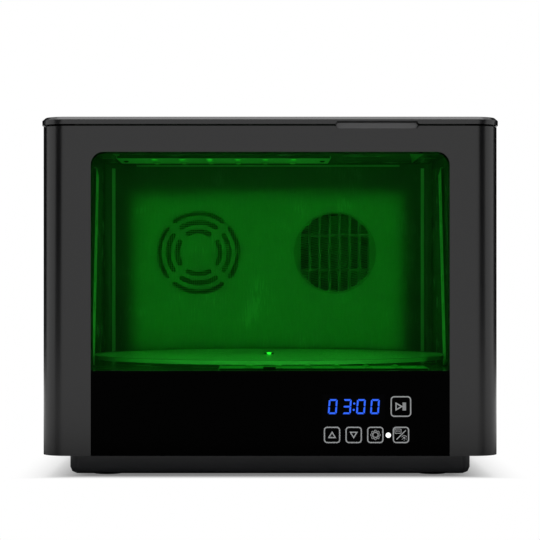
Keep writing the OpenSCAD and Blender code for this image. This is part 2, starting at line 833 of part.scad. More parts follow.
// LED board lying in X and Y, from z to z + board_t
module flat_board(l, w, x, y, z) {
    flat(z, board_t) difference() {
        translate([x, y]) rounded_rect(l, w, 2);
        for (s = [-1, 1]) translate([x + s * (l / 2 - lid_board_hole), y])
            circle(d = board_hole_d);
    }
}

// The two rows of LEDs on a flat board, lying above the board's face
module flat_board_leds(w, edge) {
    for (s = [-1, 1]) translate([0, s * (w / 2 - edge), 0]) led_row();
}

module floor_led_board() color("#dfe3e0")
    flat_board(floor_board_l, floor_board_w, floor_board_x, floor_board_mid, floor_top);

module floor_leds() color("#f2f2e6")
    translate([floor_board_x, floor_board_mid, floor_top + board_t])
        flat_board_leds(floor_board_w, floor_led_edge);

// Frame of the right side's board: its length along the lean, its face towards -X
module side_place() {
    translate([chamber_w / 2, side_board_mid, side_board_up])
        rotate([-side_board_lean, 0, 0]) rotate([0, -90, 0]) children();
}

module side_board() side_place() linear_extrude(height = board_t) difference() {
    rounded_rect(side_board_l, side_board_w, 2);
    for (s = [-1, 1]) translate([s * (side_board_l / 2 - lid_board_hole), 0])
        circle(d = board_hole_d);
}

module side_leds() side_place() translate([0, 0, board_t]) led_row();

module right_led_board() color("#dfe3e0") side_board();

module left_led_board() color("#dfe3e0") mirror([1, 0, 0]) side_board();

module right_leds() color("#f2f2e6") side_leds();

module left_leds() color("#f2f2e6") mirror([1, 0, 0]) side_leds();

// Punched metal sheet between the chamber's slots and the extraction fan
module vent_screen() color("#3c3f3d") upright(liner_rear, screen_t)
    translate([-exhaust_x, fan_axis]) difference() {
        circle(r = vent_r + screen_rim);
        intersection() {
            circle(r = vent_r + screen_rim / 3);
            for (i = [-5 : 5], j = [-5 : 5])
                translate([i * screen_pitch, j * screen_pitch])
                    square(screen_hole, center = true);
        }
    }

// Fan's axis along +Y, with its front face at y
module at_fan(x, y) {
    translate([x, y, fan_axis]) rotate([-90, 0, 0]) children();
}

module fan_frame() difference() {
    union() {
        linear_extrude(height = fan_d) difference() {
            rounded_rect(fan_w, fan_w, 4);
            circle(r = fan_bore_r);
        }
        translate([0, 0, fan_d - stator_t]) {
            cylinder(d = fan_hub_d, h = stator_t);
            for (a = [45, 135]) rotate([0, 0, a])
                translate([-fan_bore_r - cut, -strut_w / 2, 0])
                    cube([2 * (fan_bore_r + cut), strut_w, stator_t]);
        }
    }
    for (x = [-fan_hole, fan_hole], y = [-fan_hole, fan_hole])
        translate([x, y, -cut]) cylinder(d = fan_hole_d, h = fan_d + 2 * cut);
    cylinder(d = fan_shaft_d + 2 * shaft_clearance, h = fan_d + cut);
}

module impeller() {
    depth = fan_d - stator_t - travel_gap;
    tip = fan_bore_r - blade_gap;
    difference() {
        union() {
            translate([0, 0, travel_gap]) cylinder(d = fan_hub_d, h = depth - travel_gap);
            intersection() {
                cylinder(r = tip, h = depth);
                for (i = [0 : blade_count - 1]) rotate([0, 0, i * 360 / blade_count])
                    translate([fan_hub_d / 2 - 2, 0, depth / 2])
                        rotate([blade_pitch_angle, 0, 0])
                            translate([0, -blade_chord / 2, -blade_t / 2])
                                cube([tip, blade_chord, blade_t]);
            }
            cylinder(d = fan_shaft_d, h = fan_d - 1);
        }
        translate([0, 0, -cut]) cylinder(d = fan_hub_d * 0.5, h = cut + 1.5);
    }
}

module exhaust_fan_frame() color("#1b1b1b") at_fan(-exhaust_x, exhaust_fan_front) fan_frame();

module exhaust_impeller() color("#202020") at_fan(-exhaust_x, exhaust_fan_front) impeller();

module heater_fan_frame() color("#1b1b1b") at_fan(heater_x, heater_fan_front) fan_frame();

module heater_impeller() color("#202020") at_fan(heater_x, heater_fan_front) impeller();

module exhaust_duct() color("#2a2a2a") at_fan(-exhaust_x, duct_front)
    linear_extrude(height = panel_front - duct_front) difference() {
        rounded_rect(fan_w, fan_w, 4);
        rounded_rect(fan_w - 2 * duct_wall, fan_w - 2 * duct_wall, 2);
    }

// Plate behind the heater's opening, with columns of slots crossed by two bars
module heater_grille() color("#868a87") upright(liner_rear, grille_t)
    translate([heater_x, fan_axis]) difference() {
        rounded_rect(fan_w, fan_w, 4);
        intersection() {
            circle(r = heater_r - grille_rim);
            difference() {
                for (i = [0 : grille_columns - 1])
                    translate([(i - (grille_columns - 1) / 2) * grille_pitch, 0])
                        square([grille_pitch - grille_bar_w, fan_w], center = true);
                for (z = [-grille_cross_z, grille_cross_z]) translate([0, z])
                    square([fan_w, grille_bar_w], center = true);
            }
        }
    }

module heater_frame() color("#b5a06a") at_fan(heater_x, heater_front)
    linear_extrude(height = heater_d) difference() {
        rounded_rect(fan_w, fan_w, 4);
        square([heater_window + fin_tube_t + 2 * fit, fin_h + 2 * fit], center = true);
    }

// Folded fin strip along Y of its own frame, its ridges reaching fin_reach to each side
module fin_strip() {
    half = fin_ridges * fin_pitch / 2;
    side = [for (i = [0 : fin_ridges])
        [(i % 2 == 0 ? -1 : 1) * (fin_reach - fin_t), i * fin_pitch - half]];
    polygon(concat([for (p = side) [p[0] - fin_t, p[1]]],
        [for (i = [fin_ridges : -1 : 0]) [side[i][0] + fin_t, side[i][1]]]));
}

module heater_fins() color("#c2c5c4") at_fan(heater_x, heater_front) {
    for (i = [0 : grille_columns - 1])
        translate([(i - (grille_columns - 1) / 2) * grille_pitch, 0, 1])
            linear_extrude(height = heater_d - 2) fin_strip();
    for (i = [0 : grille_columns])
        translate([(i - grille_columns / 2) * grille_pitch, 0, heater_d / 2])
            cube([fin_tube_t, fin_h, heater_d - 1], center = true);
}

module motor_bracket() color("#a8abab") translate([0, table_y, 0]) {
    half = motor_d / 2 + bracket_margin;
    foot = half + bracket_foot / 2 - fit;
    difference() {
        union() {
            translate([-half, -bracket_w / 2, bracket_plate_bottom])
                cube([2 * half, bracket_w, bracket_t]);
            for (s = [-1, 1]) {
                translate([s * (half - bracket_t / 2) - bracket_t / 2, -bracket_w / 2,
                        bracket_plate_bottom])
                    cube([bracket_t, bracket_w, floor_bottom - bracket_plate_bottom]);
                translate([s * foot - bracket_foot / 2, -bracket_w / 2,
                        floor_bottom - bracket_t])
                    cube([bracket_foot, bracket_w, bracket_t]);
            }
        }
        translate([0, 0, bracket_plate_bottom - cut])
            cylinder(d = motor_boss_d + 2 * fit, h = bracket_t + 2 * cut);
    }
}

module gearmotor() color("#b8b8b4") translate([0, table_y, 0]) difference() {
    union() {
        translate([0, 0, motor_bottom]) cylinder(d = motor_d, h = motor_h);
        translate([0, 0, motor_top]) cylinder(d = motor_boss_d, h = bracket_t);
        translate([-7, motor_d / 2 - 3, motor_bottom + 3]) cube([14, 9, 10]);
        for (s = [-1, 1]) translate([s * motor_d / 2, 0, motor_top - 1]) cylinder(d = 14, h = 1);
    }
    translate([0, 0, motor_top + bracket_t - shaft_depth])
        cylinder(d = shaft_d + 2 * shaft_clearance, h = shaft_depth + cut);
}

module shaft_bush() color("#c9a24a") translate([0, table_y, 0]) difference() {
    union() {
        translate([0, 0, floor_bottom - bush_flange_t])
            cylinder(d = bush_flange_d, h = bush_flange_t);
        translate([0, 0, floor_bottom - bush_flange_t])
            cylinder(d = bush_d, h = bush_flange_t + liner_t);
    }
    translate([0, 0, floor_bottom - bush_flange_t - cut])
        cylinder(d = shaft_d + 2 * shaft_clearance, h = bush_flange_t + liner_t + 2 * cut);
}

module turntable_disc() color("#dfe8e4", 0.5) translate([0, table_y, table_bottom])
    difference() {
        cylinder(d = table_d, h = table_t, $fn = 180);
        translate([0, 0, -cut]) cylinder(d = table_screw_d, h = table_t + 2 * cut);
    }

module turntable_hub() color("#303030") translate([0, table_y, 0]) difference() {
    translate([0, 0, floor_top + hub_lift])
        cylinder(d = hub_d, h = table_bottom - floor_top - hub_lift);
    translate([0, 0, floor_top - cut]) cylinder(d = shaft_d, h = table_gap + 2 * cut);
}

module turntable_shaft() color("#c8cacc") translate([0, table_y, 0]) {
    low = motor_top + bracket_t - shaft_depth + travel_gap;
    difference() {
        translate([0, 0, low]) cylinder(d = shaft_d, h = table_bottom - low);
        translate([0, 0, table_bottom - screw_depth])
            cylinder(d = table_screw_d, h = screw_depth + cut);
    }
}

module turntable_screw() color("#d8dadc") translate([0, table_y, 0]) {
    r = table_screw_head_d / 2;
    cap_r = (r * r + table_screw_head_h * table_screw_head_h) / (2 * table_screw_head_h);
    translate([0, 0, table_bottom - screw_depth])
        cylinder(d = table_screw_d, h = screw_depth + table_t);
    translate([0, 0, table_top]) intersection() {
        cylinder(r = r, h = table_screw_head_h);
        translate([0, 0, table_screw_head_h - cap_r]) sphere(r = cap_r);
    }
}

module control_board() color("#15502a") difference() {
    union() {
        upright(board_front, circuit_t) translate([control_x, control_z])
            square([control_w, control_h], center = true);
        translate([control_x - 20, board_front + circuit_t - fit, control_z - 8])
            cube([18, plug_d, 14]);
        translate([control_x + 26, board_front + circuit_t - fit, control_z + 8])
            cube([16, 7, 8]);
        translate([status_x, carrier_back, casing_bottom + key_row_z]) rotate([-90, 0, 0])
            cylinder(d = status_d, h = board_post_h + circuit_t);
    }
    control_posts() cylinder(d = 2.5, h = carrier_t + board_post_h + circuit_t + cut);
}

module display_module() color("#0c0c0c")
    translate([display_x, pane_back + fit, casing_bottom + display_z])
        translate([-display_w / 2, 0, -display_h / 2])
            cube([display_w, board_front - pane_back - fit, display_h]);

// Coil springs that carry each touch key's signal, drawn as short tubes
module touch_springs() color("#c8b070") {
    places = concat([[key_x, display_z]], [for (x = key_xs) [x, key_row_z]]);
    for (p = places)
        translate([p[0], pane_back, casing_bottom + p[1]]) rotate([-90, 0, 0]) difference() {
            cylinder(d = spring_d, h = board_front - pane_back);
            translate([0, 0, -cut])
                cylinder(d = spring_d - 2, h = board_front - pane_back + 2 * cut);
        }
}

module driver_board() color("#1a5c30") translate([driver_x, driver_y, base_top]) {
    difference() {
        union() {
            translate([-driver_l / 2, -driver_w / 2, driver_post_h])
                cube([driver_l, driver_w, circuit_t]);
            for (x = [-1, 1], y = [-1, 1])
                translate([x * (driver_l / 2 - 6), y * (driver_w / 2 - 6), 0])
                    cylinder(d = 6, h = driver_post_h + circuit_t);
            translate([-30, -20, driver_post_h]) cube([26, 30, 18]);
            translate([12, 12, driver_post_h]) cylinder(d = 16, h = 22);
            translate([30, 12, driver_post_h]) cylinder(d = 12, h = 18);
            for (i = [0 : 4]) translate([-20 + i * 7, -38, driver_post_h]) cube([2, 12, 16]);
        }
        for (x = [-1, 1], y = [-1, 1])
            translate([x * (driver_l / 2 - 6), y * (driver_w / 2 - 6), 1])
                cylinder(d = 2.5, h = driver_post_h + circuit_t);
    }
}

module power_supply() color("#b4b6b6") translate([supply_x, supply_y, base_top]) {
    difference() {
        union() {
            translate([-supply_w / 2, -supply_l / 2, supply_foot_h])
                cube([supply_w, supply_l, supply_h]);
            for (x = [-1, 1], y = [-1, 1])
                translate([x * (supply_w / 2 - 8), y * (supply_l / 2 - 8), 0])
                    cylinder(d = 8, h = supply_foot_h + 1);
        }
        translate([-supply_w / 2 - cut, -supply_l / 2 - cut, supply_foot_h + 16])
            cube([supply_w + 2 * cut, 12, supply_h]);
        for (i = [-3 : 3])
            translate([i * 9 - 1.5, -supply_l / 2 + 20, supply_foot_h + supply_h - 3])
                cube([3, supply_l - 30, 3 + cut]);
    }
}

// Mains inlet with three pins, flange outside the rear panel
module power_inlet() color("#121212") translate([inlet_x, rear_inside, service_z]) {
    difference() {
        union() {
            upright(0, inlet_flange_t) slot_flange();
            translate([-inlet_w / 2, -inlet_depth, -inlet_h / 2])
                cube([inlet_w, inlet_depth + 1, inlet_h]);
        }
        upright(inlet_flange_t - inlet_mouth_depth, inlet_mouth_depth + cut) inlet_mouth();
        for (x = [-1, 1]) translate([x * inlet_screw_x, -cut, 0]) rotate([-90, 0, 0])
            cylinder(d = screw_d, h = inlet_flange_t + 2 * cut);
    }
    for (p = [[-7, -2], [7, -2], [0, 2]])
        translate([p[0] - 1, inlet_flange_t - inlet_mouth_depth - cut, p[1] - 2])
            cube([2, inlet_mouth_depth + cut - inlet_pin_recess, 4]);
}

module slot_flange() {
    rounded_rect(inlet_flange_w, inlet_flange_h, 4);
}

// Mouth of the inlet: a rectangle with its two upper corners cut off
module inlet_mouth() {
    w = inlet_mouth_w / 2;
    h = inlet_mouth_h / 2;
    polygon([[-w, -h], [w, -h], [w, h - inlet_mouth_cut], [w - inlet_mouth_cut, h],
        [-w + inlet_mouth_cut, h], [-w, h - inlet_mouth_cut]]);
}

module switch_housing() color("#161616") translate([switch_x, rocker_y, service_z])
    difference() {
        union() {
            translate([-switch_w / 2, -switch_depth, -switch_h / 2])
                cube([switch_w, switch_depth + 1, switch_h]);
            upright(0, switch_bezel_t)
                rounded_rect(switch_w + 2 * switch_bezel, switch_h + 2 * switch_bezel, 1);
        }
        translate([-switch_cavity_w / 2, -switch_cavity_depth, -switch_cavity_h / 2])
            cube([switch_cavity_w, switch_cavity_depth + switch_bezel_t + cut,
                switch_cavity_h]);
        translate([-switch_w / 2 - cut, 0, 0]) rotate([0, 90, 0])
            cylinder(d = rocker_pin_d + 2 * shaft_clearance, h = switch_w + 2 * cut);
    }

// Rocker at its off position, tipped about its pins
module rocker_cap() color("#0e0e0e") translate([switch_x, rocker_y, service_z])
    rotate([rocker_tilt, 0, 0]) {
        sideways(-rocker_w / 2, rocker_w)
            polygon([[-rocker_back, -rocker_h / 4], [0, -rocker_h / 2],
                [rocker_front, -rocker_h / 2], [rocker_front - 1, 0],
                [rocker_front, rocker_h / 2], [0, rocker_h / 2],
                [-rocker_back, rocker_h / 4]]);
        translate([-rocker_w / 2 - rocker_pin_reach, 0, 0]) rotate([0, 90, 0])
            cylinder(d = rocker_pin_d, h = rocker_w + 2 * rocker_pin_reach);
    }

module pin_hole(l) {
    translate([-l / 2 - cut, pin_y, pin_z]) rotate([0, 90, 0])
        cylinder(d = pin_d, h = l + 2 * cut);
}

module fixed_hinge_leaves() color("#4a4a4a") for (x = [-hinge_x, hinge_x])
    translate([x, 0, 0]) difference() {
        union() {
            translate([-hinge_l / 2, casing_rear, leaf_bottom])
                cube([hinge_l, leaf_t, leaf_h]);
            for (s = [-1, 1])
                translate([s * (hinge_l - side_knuckle_l) / 2 - side_knuckle_l / 2, 0, 0]) {
                    translate([0, casing_rear, leaf_bottom])
                        cube([side_knuckle_l, leaf_t, pin_z - leaf_bottom]);
                    translate([0, pin_y - knuckle_r - 1, pin_z - knuckle_r - 4])
                        cube([side_knuckle_l, knuckle_r, 4 + knuckle_r]);
                    translate([0, pin_y, pin_z]) rotate([0, 90, 0])
                        cylinder(r = knuckle_r, h = side_knuckle_l);
                }
        }
        pin_hole(hinge_l);
        for (dx = leaf_screw_xs) translate([dx, casing_rear - cut, leaf_screw_z])
            rotate([-90, 0, 0]) cylinder(d = screw_d, h = leaf_t + 2 * cut);
    }

module lid_hinge_leaves() color("#4a4a4a") for (x = [-hinge_x, hinge_x])
    translate([x, 0, 0]) difference() {
        union() {
            translate([-lid_knuckle_l / 2, casing_rear - lid_leaf_l, lid_leaf_bottom])
                cube([lid_knuckle_l, lid_leaf_l + pin_back, lid_bottom - lid_leaf_bottom]);
            translate([-lid_knuckle_l / 2, pin_y, pin_z]) rotate([0, 90, 0])
                cylinder(r = knuckle_r, h = lid_knuckle_l);
        }
        translate([-hinge_l / 2, pin_y, pin_z]) rotate([0, 90, 0])
            cylinder(d = pin_d + 2 * pin_clearance, h = hinge_l);
    }

module hinge_pins() color("#c4c6c8") for (x = [-hinge_x, hinge_x])
    translate([x - hinge_l / 2, pin_y, pin_z]) rotate([0, 90, 0])
        cylinder(d = pin_d, h = hinge_l);

module hinge_screws() color("#8c8e90") for (x = [-hinge_x, hinge_x], dx = leaf_screw_xs)
    translate([x + dx, casing_rear + leaf_t, leaf_screw_z]) rotate([-90, 0, 0])
        screw(leaf_t + casing_wall + 2);

module rear_screws() color("#8c8e90") {
    for (x = rear_screw_xs, z = rear_screw_zs)
        translate([x, casing_rear, z]) rotate([-90, 0, 0])
            screw(casing_wall + rear_panel_t + 1);
    for (s = [-1, 1])
        translate([inlet_x + s * inlet_screw_x, rear_inside + inlet_flange_t, service_z])
            rotate([-90, 0, 0]) screw(inlet_flange_t + rear_panel_t + 2);
}

module base_screws() color("#8c8e90")
    for (x = [-boss_x, boss_x], y = [casing_front + casing_boss_inset,
            casing_rear - casing_boss_inset])
        translate([x, y, casing_bottom]) rotate([180, 0, 0])
            screw(base_plate_t + casing_boss_h - 5);

module reed_sensor() color("#e6e6e2")
    translate([magnet_x - 4, magnet_y - 7, deck_bottom - 5]) cube([8, 14, 5]);

// Sensor bead and its clip on top of the heater's frame
module temperature_probe() color("#c9c9c9")
    translate([heater_x, heater_front + 6, fan_axis + fan_w / 2]) {
        translate([-5, 0, 0]) cube([10, 12, 2]);
        translate([0, -3, 3.5]) rotate([-90, 0, 0]) cylinder(d = 4, h = 22);
    }

// Cable laid along straight runs, with a ball at each turn
module cable(points, d) {
    for (i = [0 : len(points) - 2]) {
        v = points[i + 1] - points[i];
        translate(points[i]) rotate([0, acos(v[2] / norm(v)), atan2(v[1], v[0])])
            cylinder(d = d, h = norm(v));
    }
    if (len(points) > 2)
        for (i = [1 : len(points) - 2]) translate(points[i]) sphere(d = d + 2 * fit);
}

module wiring_loom() color("#262626") {
    driver_edge = driver_y + driver_w / 2;
    supply_edge = supply_x - supply_w / 2;
    turn_y = driver_edge + loom_turn / 3;
    signal_y = driver_y - driver_w / 2 + 15;
    signal_x = control_x - 10;
    signal_end = board_front + circuit_t - fit + plug_d;
    inlet_end = rear_inside - inlet_depth;
    // Supply to driver board
    cable([[supply_edge, supply_y, loom_z], [supply_edge - loom_turn, supply_y, loom_z],
        [supply_edge - loom_turn, turn_y, loom_z], [driver_x, turn_y, loom_z],
        [driver_x, driver_edge, loom_z]], loom_d);
    // Inlet to supply
    cable([[inlet_x, inlet_end, service_z], [inlet_x, inlet_end - loom_turn / 3, service_z],
        [inlet_x, inlet_end - loom_turn / 3, loom_z],
        [inlet_x, supply_y + supply_l / 2, loom_z]], loom_d);
    // Driver board to control board
    cable([[driver_x + driver_l / 2, signal_y, loom_z], [signal_x, signal_y, loom_z],
        [signal_x, signal_end + 8, control_z], [signal_x, signal_end, control_z]],
        loom_d / 2);
}

// Lid: a plate with a chamfered top, hollow underneath inside a plain margin
module lid_cover() color("#3d3d3d") difference() {
    union() {
        translate([0, lid_mid, 0]) {
            flat(lid_bottom, lid_edge_h) rounded_rect(lid_w, lid_d, lid_corner_r);
            stepped_slab(lid_w, lid_d, lid_corner_r, lid_shoulder, lid_chamfer_h, 0,
                lid_chamfer_w);
        }
        for (x = lid_post_xs, y = lid_post_ys)
            translate([x, y, tray_bottom + tray_t])
                cylinder(d = lid_post_d, h = lid_tray_h - tray_t + 1);
    }
    difference() {
        translate([-tray_x + hollow_margin, tray_front + hollow_margin, lid_bottom - cut])
            cube([2 * (tray_x - hollow_margin), tray_rear - tray_front - 2 * hollow_margin,
                lid_top - lid_skin - lid_bottom + cut]);
        for (x = lid_post_xs, y = lid_post_ys)
            translate([x, y, lid_bottom - 2 * cut]) cylinder(d = lid_post_d, h = lid_top);
    }
    upright(lid_front - cut, pocket_rear - lid_front + cut)
        pocket_shape(lid_bottom, pocket_rise);
    translate([magnet_x, magnet_y, lid_bottom - cut])
        cylinder(d = magnet_d, h = magnet_h + cut);
    for (x = lid_post_xs, y = lid_post_ys)
        translate([x, y, tray_bottom]) cylinder(d = screw_d, h = lid_screw_l + cut);
}

// Sheet tray under the lid, with a folded lip along the rear of its floor
module lid_tray() color("#c4c7c5") difference() {
    union() {
        difference() {
            flat(tray_bottom, lid_tray_h) chamber_outline(-lid_tray_gap, tray_front);
            flat(tray_bottom + tray_t, lid_tray_h)
                chamber_outline(-lid_tray_gap - tray_t, tray_front + tray_t);
        }
        sideways(-tray_lip_w / 2, tray_lip_w)
            polygon([[tray_rear - tray_lip_d, tray_bottom + tray_t / 2],
                [tray_rear - tray_lip_d, tray_bottom],
                [tray_rear - tray_lip_d / 3, tray_bottom - tray_lip_h],
                [tray_rear, tray_bottom - tray_lip_h], [tray_rear, tray_bottom + tray_t / 2]]);
    }
    for (x = lid_post_xs, y = lid_post_ys)
        translate([x, y, tray_bottom - cut]) cylinder(d = screw_d, h = tray_t + 2 * cut);
}

module lid_led_board() color("#dfe3e0")
    flat_board(lid_board_l, lid_board_w, lid_board_x, lid_board_mid, lid_board_bottom);

module lid_leds() color("#f2f2e6")
    translate([lid_board_x, lid_board_mid, lid_board_bottom]) rotate([180, 0, 0])
        flat_board_leds(lid_board_w, lid_led_edge);

module lid_magnet() color("#b8babc") translate([magnet_x, magnet_y, lid_bottom])
    cylinder(d = magnet_d, h = magnet_h);

module lid_buffers() color("#141414") for (x = [-buffer_x, buffer_x],
        y = [casing_front + buffer_inset, casing_rear - buffer_inset])
    translate([x, y, casing_top + fit]) cylinder(d = buffer_d, h = lid_gap - fit);

module lid_screws() color("#8c8e90") for (x = lid_post_xs, y = lid_post_ys)
    translate([x, y, tray_bottom]) rotate([180, 0, 0]) screw(lid_screw_l);

outer_casing();
rear_panel();
window_pane();
touch_fascia();
pane_carrier();
chamber_liner();
chamber_rear_sheet();
chamber_floor();
top_deck();
finger_pocket();
base_plate();
plinth();
rubber_feet();
floor_posts();
floor_led_board();
floor_leds();
left_led_board();
left_leds();
right_led_board();
right_leds();
vent_screen();
exhaust_fan_frame();
exhaust_duct();
heater_grille();
heater_frame();
heater_fins();
heater_fan_frame();
gearmotor();
motor_bracket();
shaft_bush();
control_board();
display_module();
touch_springs();
driver_board();
power_supply();
power_inlet();
switch_housing();
fixed_hinge_leaves();
hinge_pins();
hinge_screws();
reed_sensor();
temperature_probe();
base_screws();
rear_screws();
wiring_loom();
lid_cover();
lid_tray();
lid_led_board();
lid_leds();
lid_hinge_leaves();
lid_magnet();
lid_buffers();
lid_screws();
turntable_disc();
turntable_hub();
turntable_screw();
turntable_shaft();
exhaust_impeller();
heater_impeller();
rocker_cap();
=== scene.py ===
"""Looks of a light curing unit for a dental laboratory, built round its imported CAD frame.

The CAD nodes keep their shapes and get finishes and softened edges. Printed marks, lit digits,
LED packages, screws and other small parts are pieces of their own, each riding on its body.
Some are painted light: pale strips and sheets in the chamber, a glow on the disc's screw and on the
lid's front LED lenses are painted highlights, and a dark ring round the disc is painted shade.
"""
import json
import logging
import math
from dataclasses import dataclass
from enum import Enum
from typing import Any, Optional, Sequence, Union

import bmesh
import bpy
from mathutils import Matrix, Vector


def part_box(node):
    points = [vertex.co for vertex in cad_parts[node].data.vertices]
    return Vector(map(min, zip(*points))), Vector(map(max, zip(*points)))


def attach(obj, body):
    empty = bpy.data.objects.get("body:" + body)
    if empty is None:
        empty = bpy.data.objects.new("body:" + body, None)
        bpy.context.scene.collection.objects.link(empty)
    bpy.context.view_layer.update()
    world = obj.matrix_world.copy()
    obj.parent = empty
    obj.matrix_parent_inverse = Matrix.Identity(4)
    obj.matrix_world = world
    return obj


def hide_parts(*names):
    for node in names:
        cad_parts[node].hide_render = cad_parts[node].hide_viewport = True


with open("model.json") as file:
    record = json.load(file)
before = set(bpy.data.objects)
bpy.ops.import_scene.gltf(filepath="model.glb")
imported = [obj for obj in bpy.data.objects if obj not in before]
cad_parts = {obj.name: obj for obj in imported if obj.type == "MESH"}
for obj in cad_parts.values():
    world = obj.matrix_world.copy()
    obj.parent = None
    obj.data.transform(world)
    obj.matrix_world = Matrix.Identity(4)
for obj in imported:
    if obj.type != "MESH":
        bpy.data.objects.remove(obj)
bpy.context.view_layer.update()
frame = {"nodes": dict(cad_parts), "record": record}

MM = 0.001
LOG = logging.getLogger("curing_unit")

Number = Union[int, float]
Point2 = tuple[float, float]
Point3 = tuple[float, float, float]
Socket = bpy.types.NodeSocket
Term = Union["Value", int, float]
Settings = Optional[dict[str, Any]]
Inputs = Optional[dict[Union[str, int], Any]]
WHITE = (1.0, 1.0, 1.0, 1.0)
BLACK = (0.0, 0.0, 0.0, 1.0)


# Colours and shader maths


def linear(code: str) -> tuple[float, float, float, float]:
    """Turn a written colour into Blender's linear one.

    Args:
        code: Colour as "#rrggbb".

    Returns:
        Linear red, green and blue, and full alpha.
    """
    parts = [int(code[i : i + 2], 16) / 255 for i in (1, 3, 5)]
    return (*(p / 12.92 if p <= 0.04045 else ((p + 0.055) / 1.055) ** 2.4 for p in parts), 1.0)


class Value:
    """A number socket of a node tree. Python's operators on it add Math nodes."""

    def __init__(self, graph: "Graph", socket: Socket) -> None:
        """Wrap a socket.

        Args:
            graph: The node tree's builder.
            socket: The output socket that gives the number.
        """
        self.graph, self.socket = graph, socket

    def math(self, operation: str, *terms: Term) -> "Value":
        """Add one Math node.

        Args:
            operation: Its operation, such as "MAXIMUM".
            terms: Its inputs, in order.

        Returns:
            The node's result.
        """
        return self.graph.value("Math", {"operation": operation}, dict(enumerate(terms)))

    def __add__(self, other: Term) -> "Value":
        """Sum."""
        return self.math("ADD", self, other)

    def __sub__(self, other: Term) -> "Value":
        """Difference."""
        return self.math("SUBTRACT", self, other)

    def __rsub__(self, other: Number) -> "Value":
        """Difference from a number."""
        return self.math("SUBTRACT", other, self)

    def __mul__(self, other: Term) -> "Value":
        """Product."""
        return self.math("MULTIPLY", self, other)

    def __abs__(self) -> "Value":
        """Size without its sign."""
        return self.math("ABSOLUTE", self)

    __radd__ = __add__
    __rmul__ = __mul__

    def above(self, other: Term) -> "Value":
        """The larger of the two."""
        return self.math("MAXIMUM", self, other)

    def ramp(self, low: Number, high: Number) -> "Value":
        """Smooth rise from 0 at low to 1 at high.

        Args:
            low: Where the rise starts.
            high: Where it ends.

        Returns:
            The rise, clamped to 0 and 1.
        """
        return self.graph.value(
            "MapRange",
            {"interpolation_type": "SMOOTHSTEP"},
            {"Value": self, "From Min": low, "From Max": high, "To Min": 0.0, "To Max": 1.0},
        )


class Graph:
    """Builds the nodes of one material or world."""

    def __init__(self, tree: bpy.types.NodeTree) -> None:
        """Start from an empty tree.

        Args:
            tree: The tree to fill.
        """
        self.tree = tree
        tree.nodes.clear()

    def node(self, kind: str, settings: Settings = None, sockets: Inputs = None) -> bpy.types.Node:
        """Add a node.

        Args:
            kind: The node's type without its ShaderNode prefix.
            settings: The node's own settings, set first; "stops" fills a colour ramp.
            sockets: Values or links of its inputs, by name or number.

        Returns:
            The node.
        """
        made = self.tree.nodes.new("ShaderNode" + kind)
        for name, value in (settings or {}).items():
            if name == "stops":
                self._fill_ramp(made.color_ramp, value)
            else:
                setattr(made, name, value)
        for key, value in (sockets or {}).items():
            self.feed(made.inputs[key], value)
        return made

    def value(self, kind: str, settings: Settings = None, sockets: Inputs = None) -> Value:
        """Add a node and wrap its first output.

        Args:
            kind: The node's type.
            settings: The node's own settings.
            sockets: Values or links of its inputs.

        Returns:
            The wrapped output.
        """
        return Value(self, self.node(kind, settings, sockets).outputs[0])

    def feed(self, socket: Socket, value: Any) -> None:
        """Link or set an input.

        Args:
            socket: The input.
            value: A wrapped value, an output socket or a plain value.
        """
        if isinstance(value, Value):
            value = value.socket
        if isinstance(value, bpy.types.NodeSocket):
            self.tree.links.new(value, socket)
        else:
            socket.default_value = value

    @staticmethod
    def _fill_ramp(ramp: bpy.types.ColorRamp, stops: Sequence[tuple[float, Any]]) -> None:
        """Fill a colour ramp.

        Args:
            ramp: The ramp.
            stops: Its positions and colours.
        """
        while len(ramp.elements) < len(stops):
            ramp.elements.new(1.0)
        for element, (position, colour) in zip(ramp.elements, stops):
            element.position, element.color = position, colour

    def mix(self, low: Any, high: Any, factor: Term) -> Socket:
        """Mix two colours.

        Args:
            low: Colour at factor 0.
            high: Colour at factor 1.
            factor: The share of the second colour.

        Returns:
            The mixed colour's socket.
        """
        return self.node("Mix", {"data_type": "RGBA"}, {0: factor, 6: low, 7: high}).outputs[2]

    def place(self, stretch: Point3 = (1.0, 1.0, 1.0)) -> Socket:
        """Give the object's own coordinates in millimetres.

        Args:
            stretch: Factor on each axis; a small one draws a pattern out along it.

        Returns:
            The vector's socket.
        """
        raw = self.node("TexCoord").outputs["Object"]
        scale = tuple(s / MM for s in stretch)
        return self.node("VectorMath", {"operation": "MULTIPLY"}, {0: raw, 1: scale}).outputs[0]

    def noise(self, where: Socket, size: float, detail: float = 2.0) -> Value:
        """Soft noise around one half.

        Args:
            where: Coordinates in millimetres.
            size: Size of its patches in millimetres.
            detail: Number of finer layers.

        Returns:
            The noise.
        """
        return self.value("TexNoise", None, {"Vector": where, "Scale": 1 / size, "Detail": detail})

    def split(self, vector: Socket) -> tuple[Value, Value, Value]:
        """Split a vector.

        Args:
            vector: The vector's socket.

        Returns:
            Its X, Y and Z.
        """
        made = self.node("SeparateXYZ", None, {0: vector})
        x, y, z = (Value(self, socket) for socket in made.outputs)
        return x, y, z

    def bump(self, height: Value, depth: float) -> Socket:
        """Bump from a height between 0 and 1.

        Args:
            height: The height.
            depth: What 1 stands for, in millimetres.

        Returns:
            The normal's socket.
        """
        sockets = {"Strength": 1.0, "Distance": depth * MM, "Height": height}
        return self.node("Bump", None, sockets).outputs[0]

    def blend(self, share: Term, first: bpy.types.Node, second: bpy.types.Node) -> bpy.types.Node:
        """Mix two shaders.

        Args:
            share: The share of the second.
            first: Node of the shader at share 0.
            second: Node of the shader at share 1.

        Returns:
            The mixing node.
        """
        return self.node("MixShader", None, {0: share, 1: first.outputs[0], 2: second.outputs[0]})

    def surface(self, shader: Socket) -> None:
        """Connect the shader to the material's output.

        Args:
            shader: The shader's socket.
        """
        self.feed(self.node("OutputMaterial").inputs["Surface"], shader)


# Finishes


